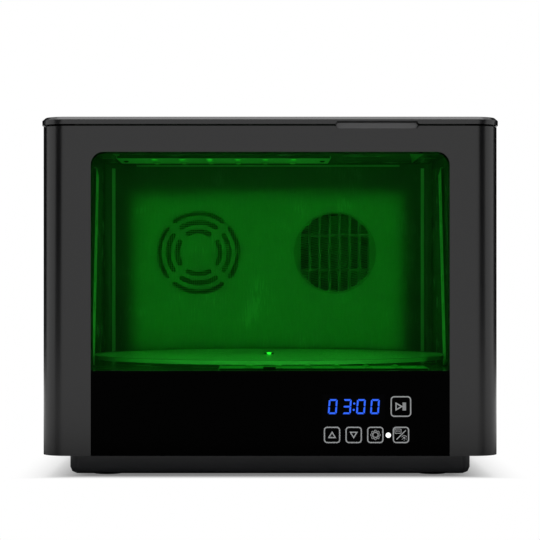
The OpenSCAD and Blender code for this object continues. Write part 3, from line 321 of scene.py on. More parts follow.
@dataclass(frozen=True)
class Finish:
    """A solid finish: a colour that varies a little over a fine, raised grain.

    Sizes are in millimetres. The grain is drawn out along the axes where stretch is small.
    """

    name: str
    colour: str
    roughness: float = 0.45
    metallic: float = 0.0
    specular: float = 0.5
    grain: float = 0.6
    depth: float = 0.01
    stretch: Point3 = (1.0, 1.0, 1.0)
    mottle: float = 0.08
    mottle_size: float = 30.0
    swing: float = 0.06
    coat: float = 0.0

    def material(self) -> bpy.types.Material:
        """Make the finish's material, or find it where it is made already.

        Returns:
            The material.
        """
        made = bpy.data.materials.get("finish_" + self.name)
        if made is None:
            made = bpy.data.materials.new("finish_" + self.name)
            made.use_nodes = True
            graph = Graph(made.node_tree)
            graph.surface(self.shade(graph))
        return made

    def tone(self, graph: Graph, share: Value) -> Socket:
        """Vary the colour a little.

        Args:
            graph: The material's builder.
            share: Where it is paler, from 0 to 1.

        Returns:
            The colour's socket.
        """
        base = linear(self.colour)
        deep = tuple(c * (1 - self.mottle) for c in base[:3]) + (1.0,)
        pale = tuple(c * (1 + self.mottle) for c in base[:3]) + (1.0,)
        return graph.mix(deep, pale, share)

    def shade(self, graph: Graph) -> Socket:
        """Build the shader.

        Args:
            graph: The material's builder.

        Returns:
            The shader's socket.
        """
        return self.principled(graph).outputs[0]

    def principled(self, graph: Graph) -> bpy.types.Node:
        """Build the main shader with its grain, colour and roughness.

        Args:
            graph: The material's builder.

        Returns:
            The Principled node.
        """
        where = graph.place(self.stretch)
        fine = graph.noise(where, self.grain, 3.0)
        broad = graph.noise(graph.place(), self.mottle_size, 2.0)
        tone = self.tone(graph, (fine * 0.55 + broad * 0.45).ramp(0.3, 0.7))
        return graph.node(
            "BsdfPrincipled",
            None,
            {
                "Base Color": tone,
                "Roughness": (fine * 0.4 + broad * 0.6 - 0.5) * (2 * self.swing)
                + self.roughness,
                "Metallic": self.metallic,
                "Specular IOR Level": self.specular,
                "Coat Weight": self.coat,
                "Normal": graph.bump(fine, self.depth),
            },
        )


@dataclass(frozen=True)
class ClearSheet(Finish):
    """Clear or tinted acrylic that lets the lamps through."""

    tint: str = "#ffffff"
    index: float = 1.49
    haze: float = 0.0
    rim: float = 1.0

    def shade(self, graph: Graph) -> Socket:
        """Build glass that passes tinted light to what lies behind it.

        Args:
            graph: The material's builder.

        Returns:
            The shader's socket.
        """
        where = graph.place(self.stretch)
        fine = graph.noise(where, self.grain, 2.0)
        base = linear(self.colour)
        # Where rim is below 1, the sheet's sides get a darker colour than its faces: painted shade.
        if self.rim < 1.0:
            upward = graph.split(graph.node("TexCoord").outputs["Normal"])[2]
            base = graph.mix(tuple(c * self.rim for c in base[:3]) + (1.0,), base, abs(upward))
        glass = graph.node(
            "BsdfPrincipled",
            None,
            {
                "Base Color": base,
                "Roughness": (fine - 0.5) * (2 * self.swing) + self.roughness,
                "Specular IOR Level": self.specular,
                "IOR": self.index,
                "Transmission Weight": 1.0 - self.haze,
                "Normal": graph.bump(fine, self.depth),
            },
        )
        clear = graph.node("BsdfTransparent", None, {"Color": linear(self.tint)})
        shadow = graph.node("LightPath").outputs["Is Shadow Ray"]
        return graph.blend(Value(graph, shadow), glass, clear).outputs[0]


@dataclass(frozen=True)
class BoardFace(Finish):
    """Solder mask on a sheet whose cut edges, which face front and rear, are bare and dull."""

    edge: str = "#3a3c3b"

    def tone(self, graph: Graph, share: Value) -> Socket:
        """Colour the faces and the edges.

        Args:
            graph: The material's builder.
            share: Where the faces are paler, from 0 to 1.

        Returns:
            The colour's socket.
        """
        along = graph.split(graph.node("TexCoord").outputs["Normal"])[1]
        edge = abs(along).ramp(0.6, 0.8)
        return graph.mix(Finish.tone(self, graph, share), linear(self.edge), edge)


@dataclass(frozen=True)
class Lit(Finish):
    """A finish that also gives light of its own, in front of a plane where it states one. The display's
    digits and the status light really glow; on the lid's LED lenses and the disc's screw the glow is a
    painted highlight.
    """

    glow: str = "#ffffff"
    strength: float = 1.0
    front_of: Optional[float] = None

    def shade(self, graph: Graph) -> Socket:
        """Build the finish with its glow.

        Args:
            graph: The material's builder.

        Returns:
            The shader's socket.
        """
        made = self.principled(graph)
        glow: Socket = linear(self.glow)
        if self.front_of is not None:
            along = graph.split(graph.place())[1]
            glow = graph.mix(linear(self.glow), BLACK, along.ramp(self.front_of, self.front_of + 1))
        graph.feed(made.inputs["Emission Color"], glow)
        graph.feed(made.inputs["Emission Strength"], self.strength)
        return made.outputs[0]


SHEET_GRAIN = (1.0, 1.0, 0.06)
PLATE_GRAIN = (0.08, 1.0, 1.0)
FINISHES: dict[str, Finish] = {
    f.name: f
    for f in (
        Finish("casing_plastic", "#0d0d0e", 0.24, grain=0.55, depth=0.012, mottle=0.1),
        Finish("lid_plastic", "#19191a", 0.24, grain=0.55, depth=0.012, mottle=0.1),
        Finish("base_plastic", "#2a2b2d", 0.3, grain=0.7, depth=0.015),
        ClearSheet("filter_acrylic", "#7ff088", 0.0, grain=8.0, depth=0.0, swing=0.0,
                   tint="#7ff088", index=1.04),
        Finish("fascia_acrylic", "#010101", 0.1, specular=0.008, grain=6.0, depth=0.0, swing=0.02),
        Finish("carrier_plastic", "#0d0d0e", 0.5),
        Finish("liner_metal", "#616563", 0.26, specular=0.35, depth=0.004, stretch=SHEET_GRAIN),
        # Painted shade: darker than the liner, for the shade of the grille's recess behind the opening.
        Finish("grille_metal", "#484c4a", 0.4, specular=0.3, depth=0.004),
        Finish("plated_steel", "#8d9090", 0.38, metallic=0.9, grain=0.8, depth=0.004, stretch=PLATE_GRAIN),
        Finish("rubber", "#101010", 0.8, grain=0.5, depth=0.03),
        BoardFace("led_board_white", "#e6e9e6", 0.45, grain=1.5, depth=0.003, mottle=0.03),
        Finish("led_lens", "#f2f2e6", 0.18, grain=2.0, depth=0.0, coat=0.3),
        # Painted highlight: the front row of the lid's LED lenses glows faintly, where the real lenses catch
        # the light.
        Lit("led_lens_painted_highlight", "#f2f2e6", 0.18, grain=2.0, depth=0.0, coat=0.3, glow="#3cff4c", strength=0.4,
            front_of=45.0),
        Finish("screen_metal", "#6c706b", 0.5, metallic=0.1),
        Finish("fan_plastic", "#161617", 0.5),
        Finish("heater_board", "#8f7b4e", 0.6, grain=1.2, mottle=0.15, mottle_size=8.0),
        Finish("fin_aluminium", "#70747a", 0.4, metallic=0.3, grain=0.5, mottle=0.55, mottle_size=5.0),
        Finish("motor_steel", "#b0b0ac", 0.35, metallic=0.9),
        Finish("bush_bronze", "#b98f45", 0.35, metallic=0.9),
        Finish("circuit_green", "#14482a", 0.4, grain=2.0, mottle=0.2, mottle_size=6.0),
        Finish("display_black", "#0a0a0a", 0.4),
        Finish("spring_brass", "#c2a860", 0.3, metallic=0.9),
        Finish("hinge_steel", "#3b3c3d", 0.42, metallic=0.4),
        Finish("screw_steel", "#7c7e80", 0.3, metallic=0.9),
        Finish("sensor_white", "#dcdcd8", 0.5),
        Finish("probe_metal", "#b8b8b8", 0.3, metallic=0.9),
        Finish("cable_black", "#141414", 0.55),
        # Its sides are darkened by rim: painted shade.
        ClearSheet("clear_acrylic", "#f2faf5", 0.12, grain=1.0, depth=0.004, swing=0.05,
                   tint="#dff0e6", haze=0.85, rim=0.3),
        Finish("hub_plastic", "#0b0c0c", 0.5, specular=0.2),
        Finish("bright_steel", "#d4d6d8", 0.16, metallic=1.0, grain=0.4, depth=0.001),
        Finish("print_grey", "#a9abac", 0.5, grain=0.5, mottle=0.04),
        Lit("status_white", "#ffffff", 0.5, glow="#ffffff", strength=0.6),
        Lit("digit_blue", "#030b1c", 0.4, glow="#1260ff", strength=1.0, mottle=0.02),
        Finish("display_glass", "#020203", 0.3, specular=0.012),
        Finish("flag_black", "#000000", 1.0, specular=0.0, grain=50.0, depth=0.0),
        Finish("filter_foam", "#0c0c0c", 0.9, specular=0.1, grain=0.9, depth=0.25, mottle=0.3),
        Finish("chip_black", "#121213", 0.5),
        Finish("solder", "#c2c6c3", 0.32, metallic=0.3, grain=0.3),
        # Painted light: the finger pocket's tab is made paler to lift the shade of its recess.
        Finish("tab_painted_light", "#666667", 0.3, grain=0.55, depth=0.012),
        # Painted highlight: the disc's screw head glows faintly where the real one catches the light.
        Lit("screw_painted_highlight", "#f4f6f4", 0.3, specular=0.8, grain=0.4, depth=0.001,
            glow="#3cff4c", strength=0.72),
        Finish("trace_grey", "#c4c9c5", 0.45),
        Finish("mark_white", "#d8d8d6", 0.5),
        # Pale grey: the real colour of the boards' screws, and a painted highlight on the strips in the
        # chamber's rear corners.
        Finish("white_screw_and_painted_highlight", "#cfd2cf", 0.5),
        # Painted shade: the dark ring round the disc's top edge stands in for the shadow line at the disc's
        # edge.
        Finish("painted_shade_green", "#2f3a33", 0.3),
        Finish("tube_metal", "#a4a8a6", 0.4, metallic=0.1),
        # Pale grey for painted highlights on the tray's lip and underside.
        Finish("facet_grey", "#a8acaa", 0.4),
    )
}


# Meshes


def offset_path(points: Sequence[Point2], distance: float, closed: bool) -> list[Point2]:
    """Shift a path to its left, with mitred corners.

    Args:
        points: The path.
        distance: How far it goes to the left; negative goes to the right.
        closed: Whether its end joins its start.

    Returns:
        The shifted path.
    """
    count = len(points)
    shifted = []
    for i, point in enumerate(points):
        before = points[i - 1] if closed or i > 0 else None
        after = points[(i + 1) % count] if closed or i < count - 1 else None
        directions = []
        for a, b in ((before, point), (point, after)):
            if a is not None and b is not None:
                step = Vector((b[0] - a[0], b[1] - a[1]))
                if step.length > 1e-9:
                    directions.append(step.normalized())
        normals = [Vector((-d.y, d.x)) for d in directions]
        normal = sum(normals, Vector((0, 0))).normalized()
        reach = distance / max(0.3, normal.dot(normals[0]))
        shifted.append((point[0] + normal.x * reach, point[1] + normal.y * reach))
    return shifted


def arc(centre: Point2, radius: float, start: float, end: float, steps: int) -> list[Point2]:
    """Points along an arc.

    Args:
        centre: Its centre.
        radius: Its radius.
        start: First angle in degrees.
        end: Last angle in degrees.
        steps: Number of straight runs.

    Returns:
        The points, both ends included.
    """
    angles = [math.radians(start + (end - start) * i / steps) for i in range(steps + 1)]
    return [(centre[0] + radius * math.cos(a), centre[1] + radius * math.sin(a)) for a in angles]


def rounded_box(centre: Point2, width: float, height: float, radius: float) -> list[Point2]:
    """Outline of a rectangle with rounded corners.

    Args:
        centre: Its middle.
        width: Its width.
        height: Its height.
        radius: Radius of its corners.

    Returns:
        The outline, counter-clockwise.
    """
    points = []
    for sx, sy, turn in ((1, 1, 0), (-1, 1, 90), (-1, -1, 180), (1, -1, 270)):
        corner = (centre[0] + sx * (width / 2 - radius), centre[1] + sy * (height / 2 - radius))
        points += arc(corner, radius, turn, turn + 90, 8)
    return points


class Sheet:
    """Flat marks on a plane, each a thin solid that stands just proud of it."""

    def __init__(self, place: Matrix, thickness: float = 0.04) -> None:
        """Start an empty sheet.

        Args:
            place: Frame of the plane: marks lie in its X and Y and rise along its Z.
            thickness: How far a mark rises, in millimetres.
        """
        self.mesh, self.place, self.thickness = bmesh.new(), place, thickness

    def _raise(self, faces: list[bmesh.types.BMFace]) -> None:
        """Give flat faces their thickness.

        Args:
            faces: The faces.
        """
        grown = bmesh.ops.extrude_face_region(self.mesh, geom=faces)["geom"]
        verts = [g for g in grown if isinstance(g, bmesh.types.BMVert)]
        bmesh.ops.translate(self.mesh, verts=verts, vec=Vector((0, 0, self.thickness)))

    def _vert(self, point: Point2) -> bmesh.types.BMVert:
        """Add a point of the plane.

        Args:
            point: Its place in millimetres.

        Returns:
            The vertex.
        """
        return self.mesh.verts.new((point[0], point[1], 0))

    def area(self, outline: Sequence[Point2]) -> None:
        """Add a filled mark.

        Args:
            outline: Its outline, counter-clockwise.
        """
        self._raise([self.mesh.faces.new([self._vert(p) for p in outline])])

    def disc(self, centre: Point2, radius: float) -> None:
        """Add a round mark.

        Args:
            centre: Its middle.
            radius: Its radius.
        """
        self.area(arc(centre, radius, 0, 360, 28)[:-1])

    def line(self, points: Sequence[Point2], width: float, closed: bool = False) -> None:
        """Add a line.

        Args:
            points: Its middle path.
            width: Its width.
            closed: Whether its end joins its start.
        """
        left = [self._vert(p) for p in offset_path(points, width / 2, closed)]
        right = [self._vert(p) for p in offset_path(points, -width / 2, closed)]
        count = len(points)
        spans = range(count if closed else count - 1)
        self._raise(
            [
                self.mesh.faces.new((right[i], right[(i + 1) % count], left[(i + 1) % count], left[i]))
                for i in spans
            ]
        )

    def piece(self, name: str, finish: str, body: str) -> bpy.types.Object:
        """Make the sheet's object.

        Args:
            name: The piece's name.
            finish: Name of its finish.
            body: The CAD body that it rides on.

        Returns:
            The piece.
        """
        bmesh.ops.scale(self.mesh, verts=self.mesh.verts, vec=Vector((MM, MM, MM)))
        self.mesh.transform(self.place)
        return finished(name, self.mesh, finish, body)


def linked(name: str, data: bpy.types.ID) -> bpy.types.Object:
    """Put data into the scene as an object.

    Args:
        name: The object's name.
        data: Its mesh, curve, light or camera.

    Returns:
        The object.
    """
    made = bpy.data.objects.new(name, data)
    bpy.context.scene.collection.objects.link(made)
    return made


def finished(name: str, mesh: bmesh.types.BMesh, finish: str, body: str) -> bpy.types.Object:
    """Turn a mesh in progress into a piece that rides on a body.

    Args:
        name: The piece's name.
        mesh: Its mesh, in metres in the CAD's frame.
        finish: Name of its finish.
        body: The CAD body that it rides on.

    Returns:
        The piece.
    """
    bmesh.ops.recalc_face_normals(mesh, faces=mesh.faces)
    data = bpy.data.meshes.new(name)
    mesh.to_mesh(data)
    mesh.free()
    data.materials.append(FINISHES[finish].material())
    made = linked(name, data)
    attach(made, body)
    LOG.info("%s: %d faces on %s", name, len(data.polygons), body)
    return made


# Sub-assemblies


@dataclass
class Frame:
    """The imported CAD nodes: their finishes and softened edges."""

    edge: float = 0.35
    fine_edge: float = 0.15
    # The lid LEDs' finish paints a highlight on their lenses.
    # The tab's paler finish is painted light against the shade of its recess.
    special: tuple[tuple[str, str], ...] = (("finger_pocket", "tab_painted_light"), ("lid_leds", "led_lens_painted_highlight"))
    soft: tuple[str, ...] = (
        "outer_casing", "lid_cover", "plinth", "top_deck", "finger_pocket", "rear_panel",
        "base_plate", "fixed_hinge_leaves", "lid_hinge_leaves", "power_inlet",
        "switch_housing", "rocker_cap", "rubber_feet", "lid_tray",
    )
    fine: tuple[str, ...] = (
        "window_pane", "touch_fascia", "turntable_disc", "turntable_screw", "turntable_hub",
        "floor_led_board", "left_led_board", "right_led_board", "lid_led_board",
    )

    def dress(self) -> None:
        """Give each node its slot's finish, and round its edges."""
        for name, node in frame["nodes"].items():
            slot = node.data.materials[0].name.split(".")[0]
            finish = dict(self.special).get(name, slot)
            node.data.materials[0] = FINISHES[finish].material()
            LOG.info("%s: finish %s", name, finish)
        for names, width in ((self.soft, self.edge), (self.fine, self.fine_edge)):
            for name in names:
                self.round_edges(frame["nodes"][name], width)

    @staticmethod
    def round_edges(node: bpy.types.Object, width: float) -> None:
        """Round a node's sharp edges.

        Args:
            node: The node's object.
            width: Width of the rounding in millimetres.
        """
        weld = node.modifiers.new("weld", "WELD")
        weld.merge_threshold = 1e-6
        bevel = node.modifiers.new("bevel", "BEVEL")
        bevel.width = width * MM
        bevel.segments = 2
        bevel.limit_method = "ANGLE"
        bevel.angle_limit = math.radians(35)
        bevel.use_clamp_overlap = True
        normals = node.modifiers.new("normals", "WEIGHTED_NORMAL")
        normals.keep_sharp = False


class Segment(Enum):
    """Bars of a seven-segment digit, named clockwise from the top."""

    TOP = "a"
    UPPER_RIGHT = "b"
    LOWER_RIGHT = "c"
    BOTTOM = "d"
    LOWER_LEFT = "e"
    UPPER_LEFT = "f"
    MIDDLE = "g"


@dataclass
class TimeDisplay:
    """The lit digits behind the fascia. Sizes in millimetres."""

    plane: float = -199.0
    window_centre: Point2 = (64.6, 55.6)
    window_size: Point2 = (48.4, 19.7)
    starts: tuple[float, ...] = (44.55, 55.45, 66.36, 77.2)
    low: float = 50.2
    width: float = 6.85
    height: float = 11.6
    bar: float = 1.35
    gap: float = 0.12
    lean: float = 0.073
    colon: tuple[Point2, ...] = ((65.05, 58.4), (64.6, 53.5))
    colon_r: float = 0.82

    LIT = {"0": "abcdef", "3": "abcdg"}

    def bars(self) -> dict[Segment, list[Point2]]:
        """Outlines of the seven bars, from the digit's lower left corner.

        Returns:
            The outlines by bar, counter-clockwise.
        """
        w, h, t, g = self.width, self.height, self.bar, self.gap
        half, cut = h / 2, 0.45 * t

        def level(low: float, high: float, inner_low: float, inner_high: float) -> list[Point2]:
            """Give a bar that lies flat, slanted at both ends.

            Args:
                low: Height of its lower edge.
                high: Height of its upper edge.
                inner_low: How far its lower edge ends from the digit's sides.
                inner_high: How far its upper edge does.

            Returns:
                Its outline.
            """
            feet, tops = inner_low + g, inner_high + g
            return [(feet, low), (w - feet, low), (w - tops, high), (tops, high)]

        mid = [(cut + g, half), (t + g, half - t / 2), (w - t - g, half - t / 2), (w - cut - g, half),
               (w - t - g, half + t / 2), (t + g, half + t / 2)]
        upper = [(0, half + g + cut * 0.4), (cut, half + g), (t, half + t / 2 + g), (t, h - t - g),
                 (0.35, h - 0.35 - g * 2), (0, h - 0.9)]
        lower = [(x, h - z) for x, z in reversed(upper)]
        return {
            Segment.TOP: level(h - t, h, t, cut),
            Segment.BOTTOM: level(0, t, cut, t),
            Segment.MIDDLE: mid,
            Segment.UPPER_LEFT: list(reversed(upper)),
            Segment.LOWER_LEFT: list(reversed(lower)),
            Segment.UPPER_RIGHT: [(w - x, z) for x, z in upper],
            Segment.LOWER_RIGHT: [(w - x, z) for x, z in lower],
        }

    def build(self) -> None:
        """Make the display's window and its digits."""
        place = at((0, self.plane, 0), 90)
        window = Sheet(place, 0.01)
        window.area(rounded_box(self.window_centre, *self.window_size, 0.3))
        window.piece("display_window", "display_glass", "cabinet")
        digits = Sheet(place, 0.03)
        for start, figure in zip(self.starts, "0300"):
            for segment, outline in self.bars().items():
                if segment.value in self.LIT[figure]:
                    digits.area([(start + x + z * self.lean, self.low + z) for x, z in outline])
        for point in self.colon:
            digits.disc(point, self.colon_r)
        digits.piece("display_digits", "digit_blue", "cabinet")


@dataclass
class KeyPrints:
    """The printed keys on the fascia. Sizes in millimetres."""

    plane: float = -199.0
    row: float = 34.1
    key: float = 12.7
    line: float = 0.92
    corner: float = 2.7
    up_x: float = 47.85
    down_x: float = 64.6
    mode_x: float = 81.35
    heat_x: float = 101.2
    start_centre: Point2 = (101.15, 56.1)
    start_size: float = 16.0
    light_centre: Point2 = (91.4, 33.9)
    light_r: float = 2.05

    def build(self) -> None:
        """Make the keys' outlines, their signs and the status light."""
        place = at((0, self.plane, 0), 90)
        keys = Sheet(place)
        for x in (self.up_x, self.down_x, self.mode_x, self.heat_x):
            self.outline(keys, (x, self.row), self.key, self.corner)
        self.outline(keys, self.start_centre, self.start_size, self.corner + 0.2)
        keys.piece("key_outlines", "print_grey", "cabinet")
        signs = Sheet(place)
        self.arrow(signs, (self.up_x, self.row - 0.25), 1)
        self.arrow(signs, (self.down_x, self.row + 0.25), -1)
        self.mode_sign(signs, (self.mode_x + 0.1, self.row))
        self.heat_sign(signs, (self.heat_x, self.row))
        self.start_sign(signs, self.start_centre)
        signs.piece("key_signs", "print_grey", "cabinet")
        light = Sheet(place)
        light.disc(self.light_centre, self.light_r)
        light.piece("status_light", "status_white", "cabinet")

    def outline(self, sheet: Sheet, centre: Point2, size: float, corner: float) -> None:
        """Add a key's rounded square.

        Args:
            sheet: The sheet that it goes on.
            centre: Its middle.
            size: Its outer width.
            corner: Radius of its outer corners.
        """
        side = size - self.line
        sheet.line(rounded_box(centre, side, side, corner - self.line / 2), self.line, True)

    @staticmethod
    def arrow(sheet: Sheet, centre: Point2, way: int) -> None:
        """Add a triangle that points up or down.

        Args:
            sheet: The sheet that it goes on.
            centre: Its middle.
            way: 1 for up and -1 for down.
        """
        x, z = centre
        corners = [(x - 2.55, z - way * 1.8), (x + 2.55, z - way * 1.8), (x, z + way * 2.35)]
        sheet.line(corners if way > 0 else corners[::-1], 0.85, True)

    @staticmethod
    def mode_sign(sheet: Sheet, centre: Point2) -> None:
        """Add the flower-shaped sign of eight loops round a ring.

        Args:
            sheet: The sheet that it goes on.
            centre: Its middle.
        """
        for i in range(8):
            angle = math.radians(45 * i)
            middle = (centre[0] + 2.95 * math.cos(angle), centre[1] + 2.95 * math.sin(angle))
            sheet.line(arc(middle, 0.82, 0, 360, 18)[:-1], 0.4, True)
        sheet.line(arc(centre, 1.85, 0, 360, 24)[:-1], 0.4, True)

    @staticmethod
    def heat_sign(sheet: Sheet, centre: Point2) -> None:
        """Add the slash with a warm box above it and a lamp below it.

        Args:
            sheet: The sheet that it goes on.
            centre: Its middle.
        """
        x, z = centre
        sheet.line([(x - 3.45, z - 3.55), (x + 3.7, z + 3.5)], 0.75)
        box = rounded_box((x - 2.3, z + 2.9), 4.7, 3.4, 0.4)
        sheet.line(box, 0.5, True)
        for bar in (3.3, 2.3, 1.3):
            sheet.line([(x - bar, z + 2.2), (x - bar, z + 3.6)], 0.4)
        sheet.line(arc((x + 2.5, z - 2.6), 2.1, 155, 25, 10), 0.45)
        sheet.disc((x + 2.5, z - 2.2), 0.75)
        for angle in (215, 270, 325):
            a = math.radians(angle)
            ray = [(x + 2.5 + r * math.cos(a), z - 2.2 + r * math.sin(a)) for r in (1.4, 2.1)]
            sheet.line(ray, 0.5)

    @staticmethod
    def start_sign(sheet: Sheet, centre: Point2) -> None:
        """Add the play triangle and the ribbed pause block.

        Args:
            sheet: The sheet that it goes on.
            centre: Its middle.
        """
        x, z = centre
        sheet.line([(x - 3.75, z - 2.55), (x + 0.65, z), (x - 3.75, z + 2.55)], 0.95, True)
        for i in range(8):
            low = z - 3.05 + i * 0.78
            sheet.area([(x + 1.25, low), (x + 3.95, low), (x + 3.95, low + 0.62), (x + 1.25, low + 0.62)])


def shell(mesh: bmesh.types.BMesh, rings: Sequence[Sequence[Vector]], closed: bool, caps: bool) -> None:
    """Skin a row of rings of points.

    Args:
        mesh: The mesh that it goes into.
        rings: The rings, each with the same number of points.
        closed: Whether each ring runs round to its start.
        caps: Whether the first and last rings are filled.
    """
    made = [[mesh.verts.new(point) for point in ring] for ring in rings]
    count = len(made[0])
    for low, high in zip(made, made[1:]):
        for i in range(count if closed else count - 1):
            j = (i + 1) % count
            mesh.faces.new((low[i], low[j], high[j], high[i]))
    if caps:
        mesh.faces.new(made[0][::-1])
        mesh.faces.new(made[-1])


def lathe(mesh: bmesh.types.BMesh, place: Matrix, profile: Sequence[Point2], steps: int = 32) -> None:
    """Turn a profile about the Z axis of its frame.

    Args:
        mesh: The mesh that it goes into.
        place: The frame, in metres.
        profile: Radius and height of each ring, in millimetres.
        steps: Number of points round a ring.
    """
    rings = []
    for radius, height in profile:
        ring = arc((0, 0), radius, 0, 360, steps)[:-1]
        rings.append([place @ Vector((x * MM, y * MM, height * MM)) for x, y in ring])
    shell(mesh, rings, True, True)


def block(mesh: bmesh.types.BMesh, place: Matrix, size: Point3, edge: float = 0.3) -> None:
    """Add a box with chamfered upright and upper edges.

    Args:
        mesh: The mesh that it goes into.
        place: Frame of the middle of its foot, in metres.
        size: Its length, width and height in millimetres.
        edge: Size of the chamfers.
    """
    length, width, height = size
    rings = []
    for inset, level in ((0, 0), (0, height - edge), (edge, height)):
        x, y = length / 2 - inset, width / 2 - inset
        ring = []
        for sx, sy, first in ((1, 1, 0), (-1, 1, 1), (-1, -1, 0), (1, -1, 1)):
            corner = [(sx * x, sy * (y - edge)), (sx * (x - edge), sy * y)]
            ring += corner[::-1] if first else corner
        rings.append([place @ Vector((a * MM, b * MM, level * MM)) for a, b in ring])
    shell(mesh, rings, True, True)


def box_mm(name: str) -> tuple[Vector, Vector, Vector]:
    """Box of a CAD node in millimetres.

    Args:
        name: The node.

    Returns:
        Its lowest corner, its highest corner and its middle.
    """
    low, high = (Vector(corner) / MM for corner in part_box(name))
    return low, high, (low + high) / 2


def at(point: Sequence[float], turn: float = 0.0) -> Matrix:
    """Frame at a place, turned about the X axis.

    Args:
        point: The place in millimetres.
        turn: The turn in degrees.

    Returns:
        The frame, in metres.
    """
    return Matrix.Translation(Vector(point) * MM) @ Matrix.Rotation(math.radians(turn), 4, "X")


def islands(name: str) -> list[tuple[Vector, Vector]]:
    """Find the separate solids of a CAD node.

    Args:
        name: The node.

    Returns:
        Lowest and highest corner of each, in metres, in order of place.
    """
    mesh = bmesh.new()
    mesh.from_mesh(frame["nodes"][name].data)
    bmesh.ops.remove_doubles(mesh, verts=mesh.verts, dist=1e-6)
    left, found = set(mesh.verts), []
    while left:
        queue = [left.pop()]
        group = []
        while queue:
            vert = queue.pop()
            group.append(vert.co.copy())
            for edge in vert.link_edges:
                other = edge.other_vert(vert)
                if other in left:
                    left.remove(other)
                    queue.append(other)
        found.append((Vector(map(min, *group)), Vector(map(max, *group))))
    mesh.free()
    return sorted(found, key=lambda pair: tuple(round(value, 5) for value in pair[0]))


def facing(direction: Point3) -> Matrix:
    """Turn the Z axis towards a direction.

    Args:
        direction: The direction.

    Returns:
        The turn as a matrix.
    """
    return Vector(direction).to_track_quat("Z", "Y").to_matrix().to_4x4()


@dataclass
class PanScrews:
    """Cross-head screws in place of a node's plain ones. Sizes in millimetres."""

    node: str
    body: str
    outward: Point3
    head_h: float = 1.7
    shank_d: float = 3.0
    slot_half: float = 0.13
    slot_reach: float = 0.56
    slot_depth: float = 1.0
    thread: float = 0.6

    def build(self) -> None:
        """Make the screws at the places of the node's own."""
        mesh = bmesh.new()
        axis = max(range(3), key=lambda i: abs(self.outward[i]))
        sign = 1 if self.outward[axis] > 0 else -1
        for low, high in islands(self.node):
            middle = (low + high) / 2
            top = high[axis] if sign > 0 else low[axis]
            seat = middle.copy()
            seat[axis] = top - sign * self.head_h * MM
            length = (high[axis] - low[axis]) / MM - self.head_h
            head_r = max((high - low)[i] for i in range(3) if i != axis) / 2 / MM
            place = Matrix.Translation(seat) @ facing(self.outward)
            self.head(mesh, place, head_r)
            self.shank(mesh, place, length)
        made = finished(self.node + "_detail", mesh, "screw_steel", self.body)
        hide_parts(self.node)

    def head(self, mesh: bmesh.types.BMesh, place: Matrix, radius: float) -> None:
        """Add a domed head with a cross recess.

        Args:
            mesh: The mesh that it goes into.
            place: Frame of the head's seat.
            radius: Its radius.
        """
        half = [self.slot_half, 0.35, self.slot_reach, 0.8, 1]
        marks = [-mark for mark in reversed(half)] + half
        grid = []
        for u in marks:
            row = []
            for v in marks:
                x, y = u * math.sqrt(1 - v * v / 2), v * math.sqrt(1 - u * u / 2)
                level = self.head_h * (0.62 + 0.38 * math.sqrt(max(0.0, 1 - x * x - y * y)))
                arm = min(abs(u), abs(v)) <= self.slot_half + 1e-6
                if arm and max(abs(u), abs(v)) <= 0.36:
                    level -= self.slot_depth
                row.append(mesh.verts.new(place @ (Vector((x * radius, y * radius, level)) * MM)))
            grid.append(row)
        last = len(marks) - 1
        for i in range(last):
            for j in range(last):
                mesh.faces.new((grid[i][j], grid[i + 1][j], grid[i + 1][j + 1], grid[i][j + 1]))
        edge = [grid[i][0] for i in range(last)] + [grid[last][j] for j in range(last)]
        edge += [grid[i][last] for i in range(last, 0, -1)] + [grid[0][j] for j in range(last, 0, -1)]
        low = []
        for vert in edge:
            local = place.inverted() @ vert.co
            low.append(mesh.verts.new(place @ Vector((local.x, local.y, 0))))
        for i in range(len(edge)):
            j = (i + 1) % len(edge)
            mesh.faces.new((edge[i], edge[j], low[j], low[i]))
        mesh.faces.new(low)

    def shank(self, mesh: bmesh.types.BMesh, place: Matrix, length: float) -> None:
        """Add a threaded shank with a blunt tip.

        Args:
            mesh: The mesh that it goes into.
            place: Frame of the head's seat.
            length: Its length in millimetres.
        """
        turns = int(length / self.thread)
        outer, inner = self.shank_d / 2, self.shank_d / 2 - 0.3
        profile = [(outer, 0.1)]
        for i in range(1, turns):
            profile += [(inner, -(i - 0.5) * self.thread), (outer, -i * self.thread)]
        profile.append((inner * 0.8, -length))
        lathe(mesh, place, profile[::-1], 12)


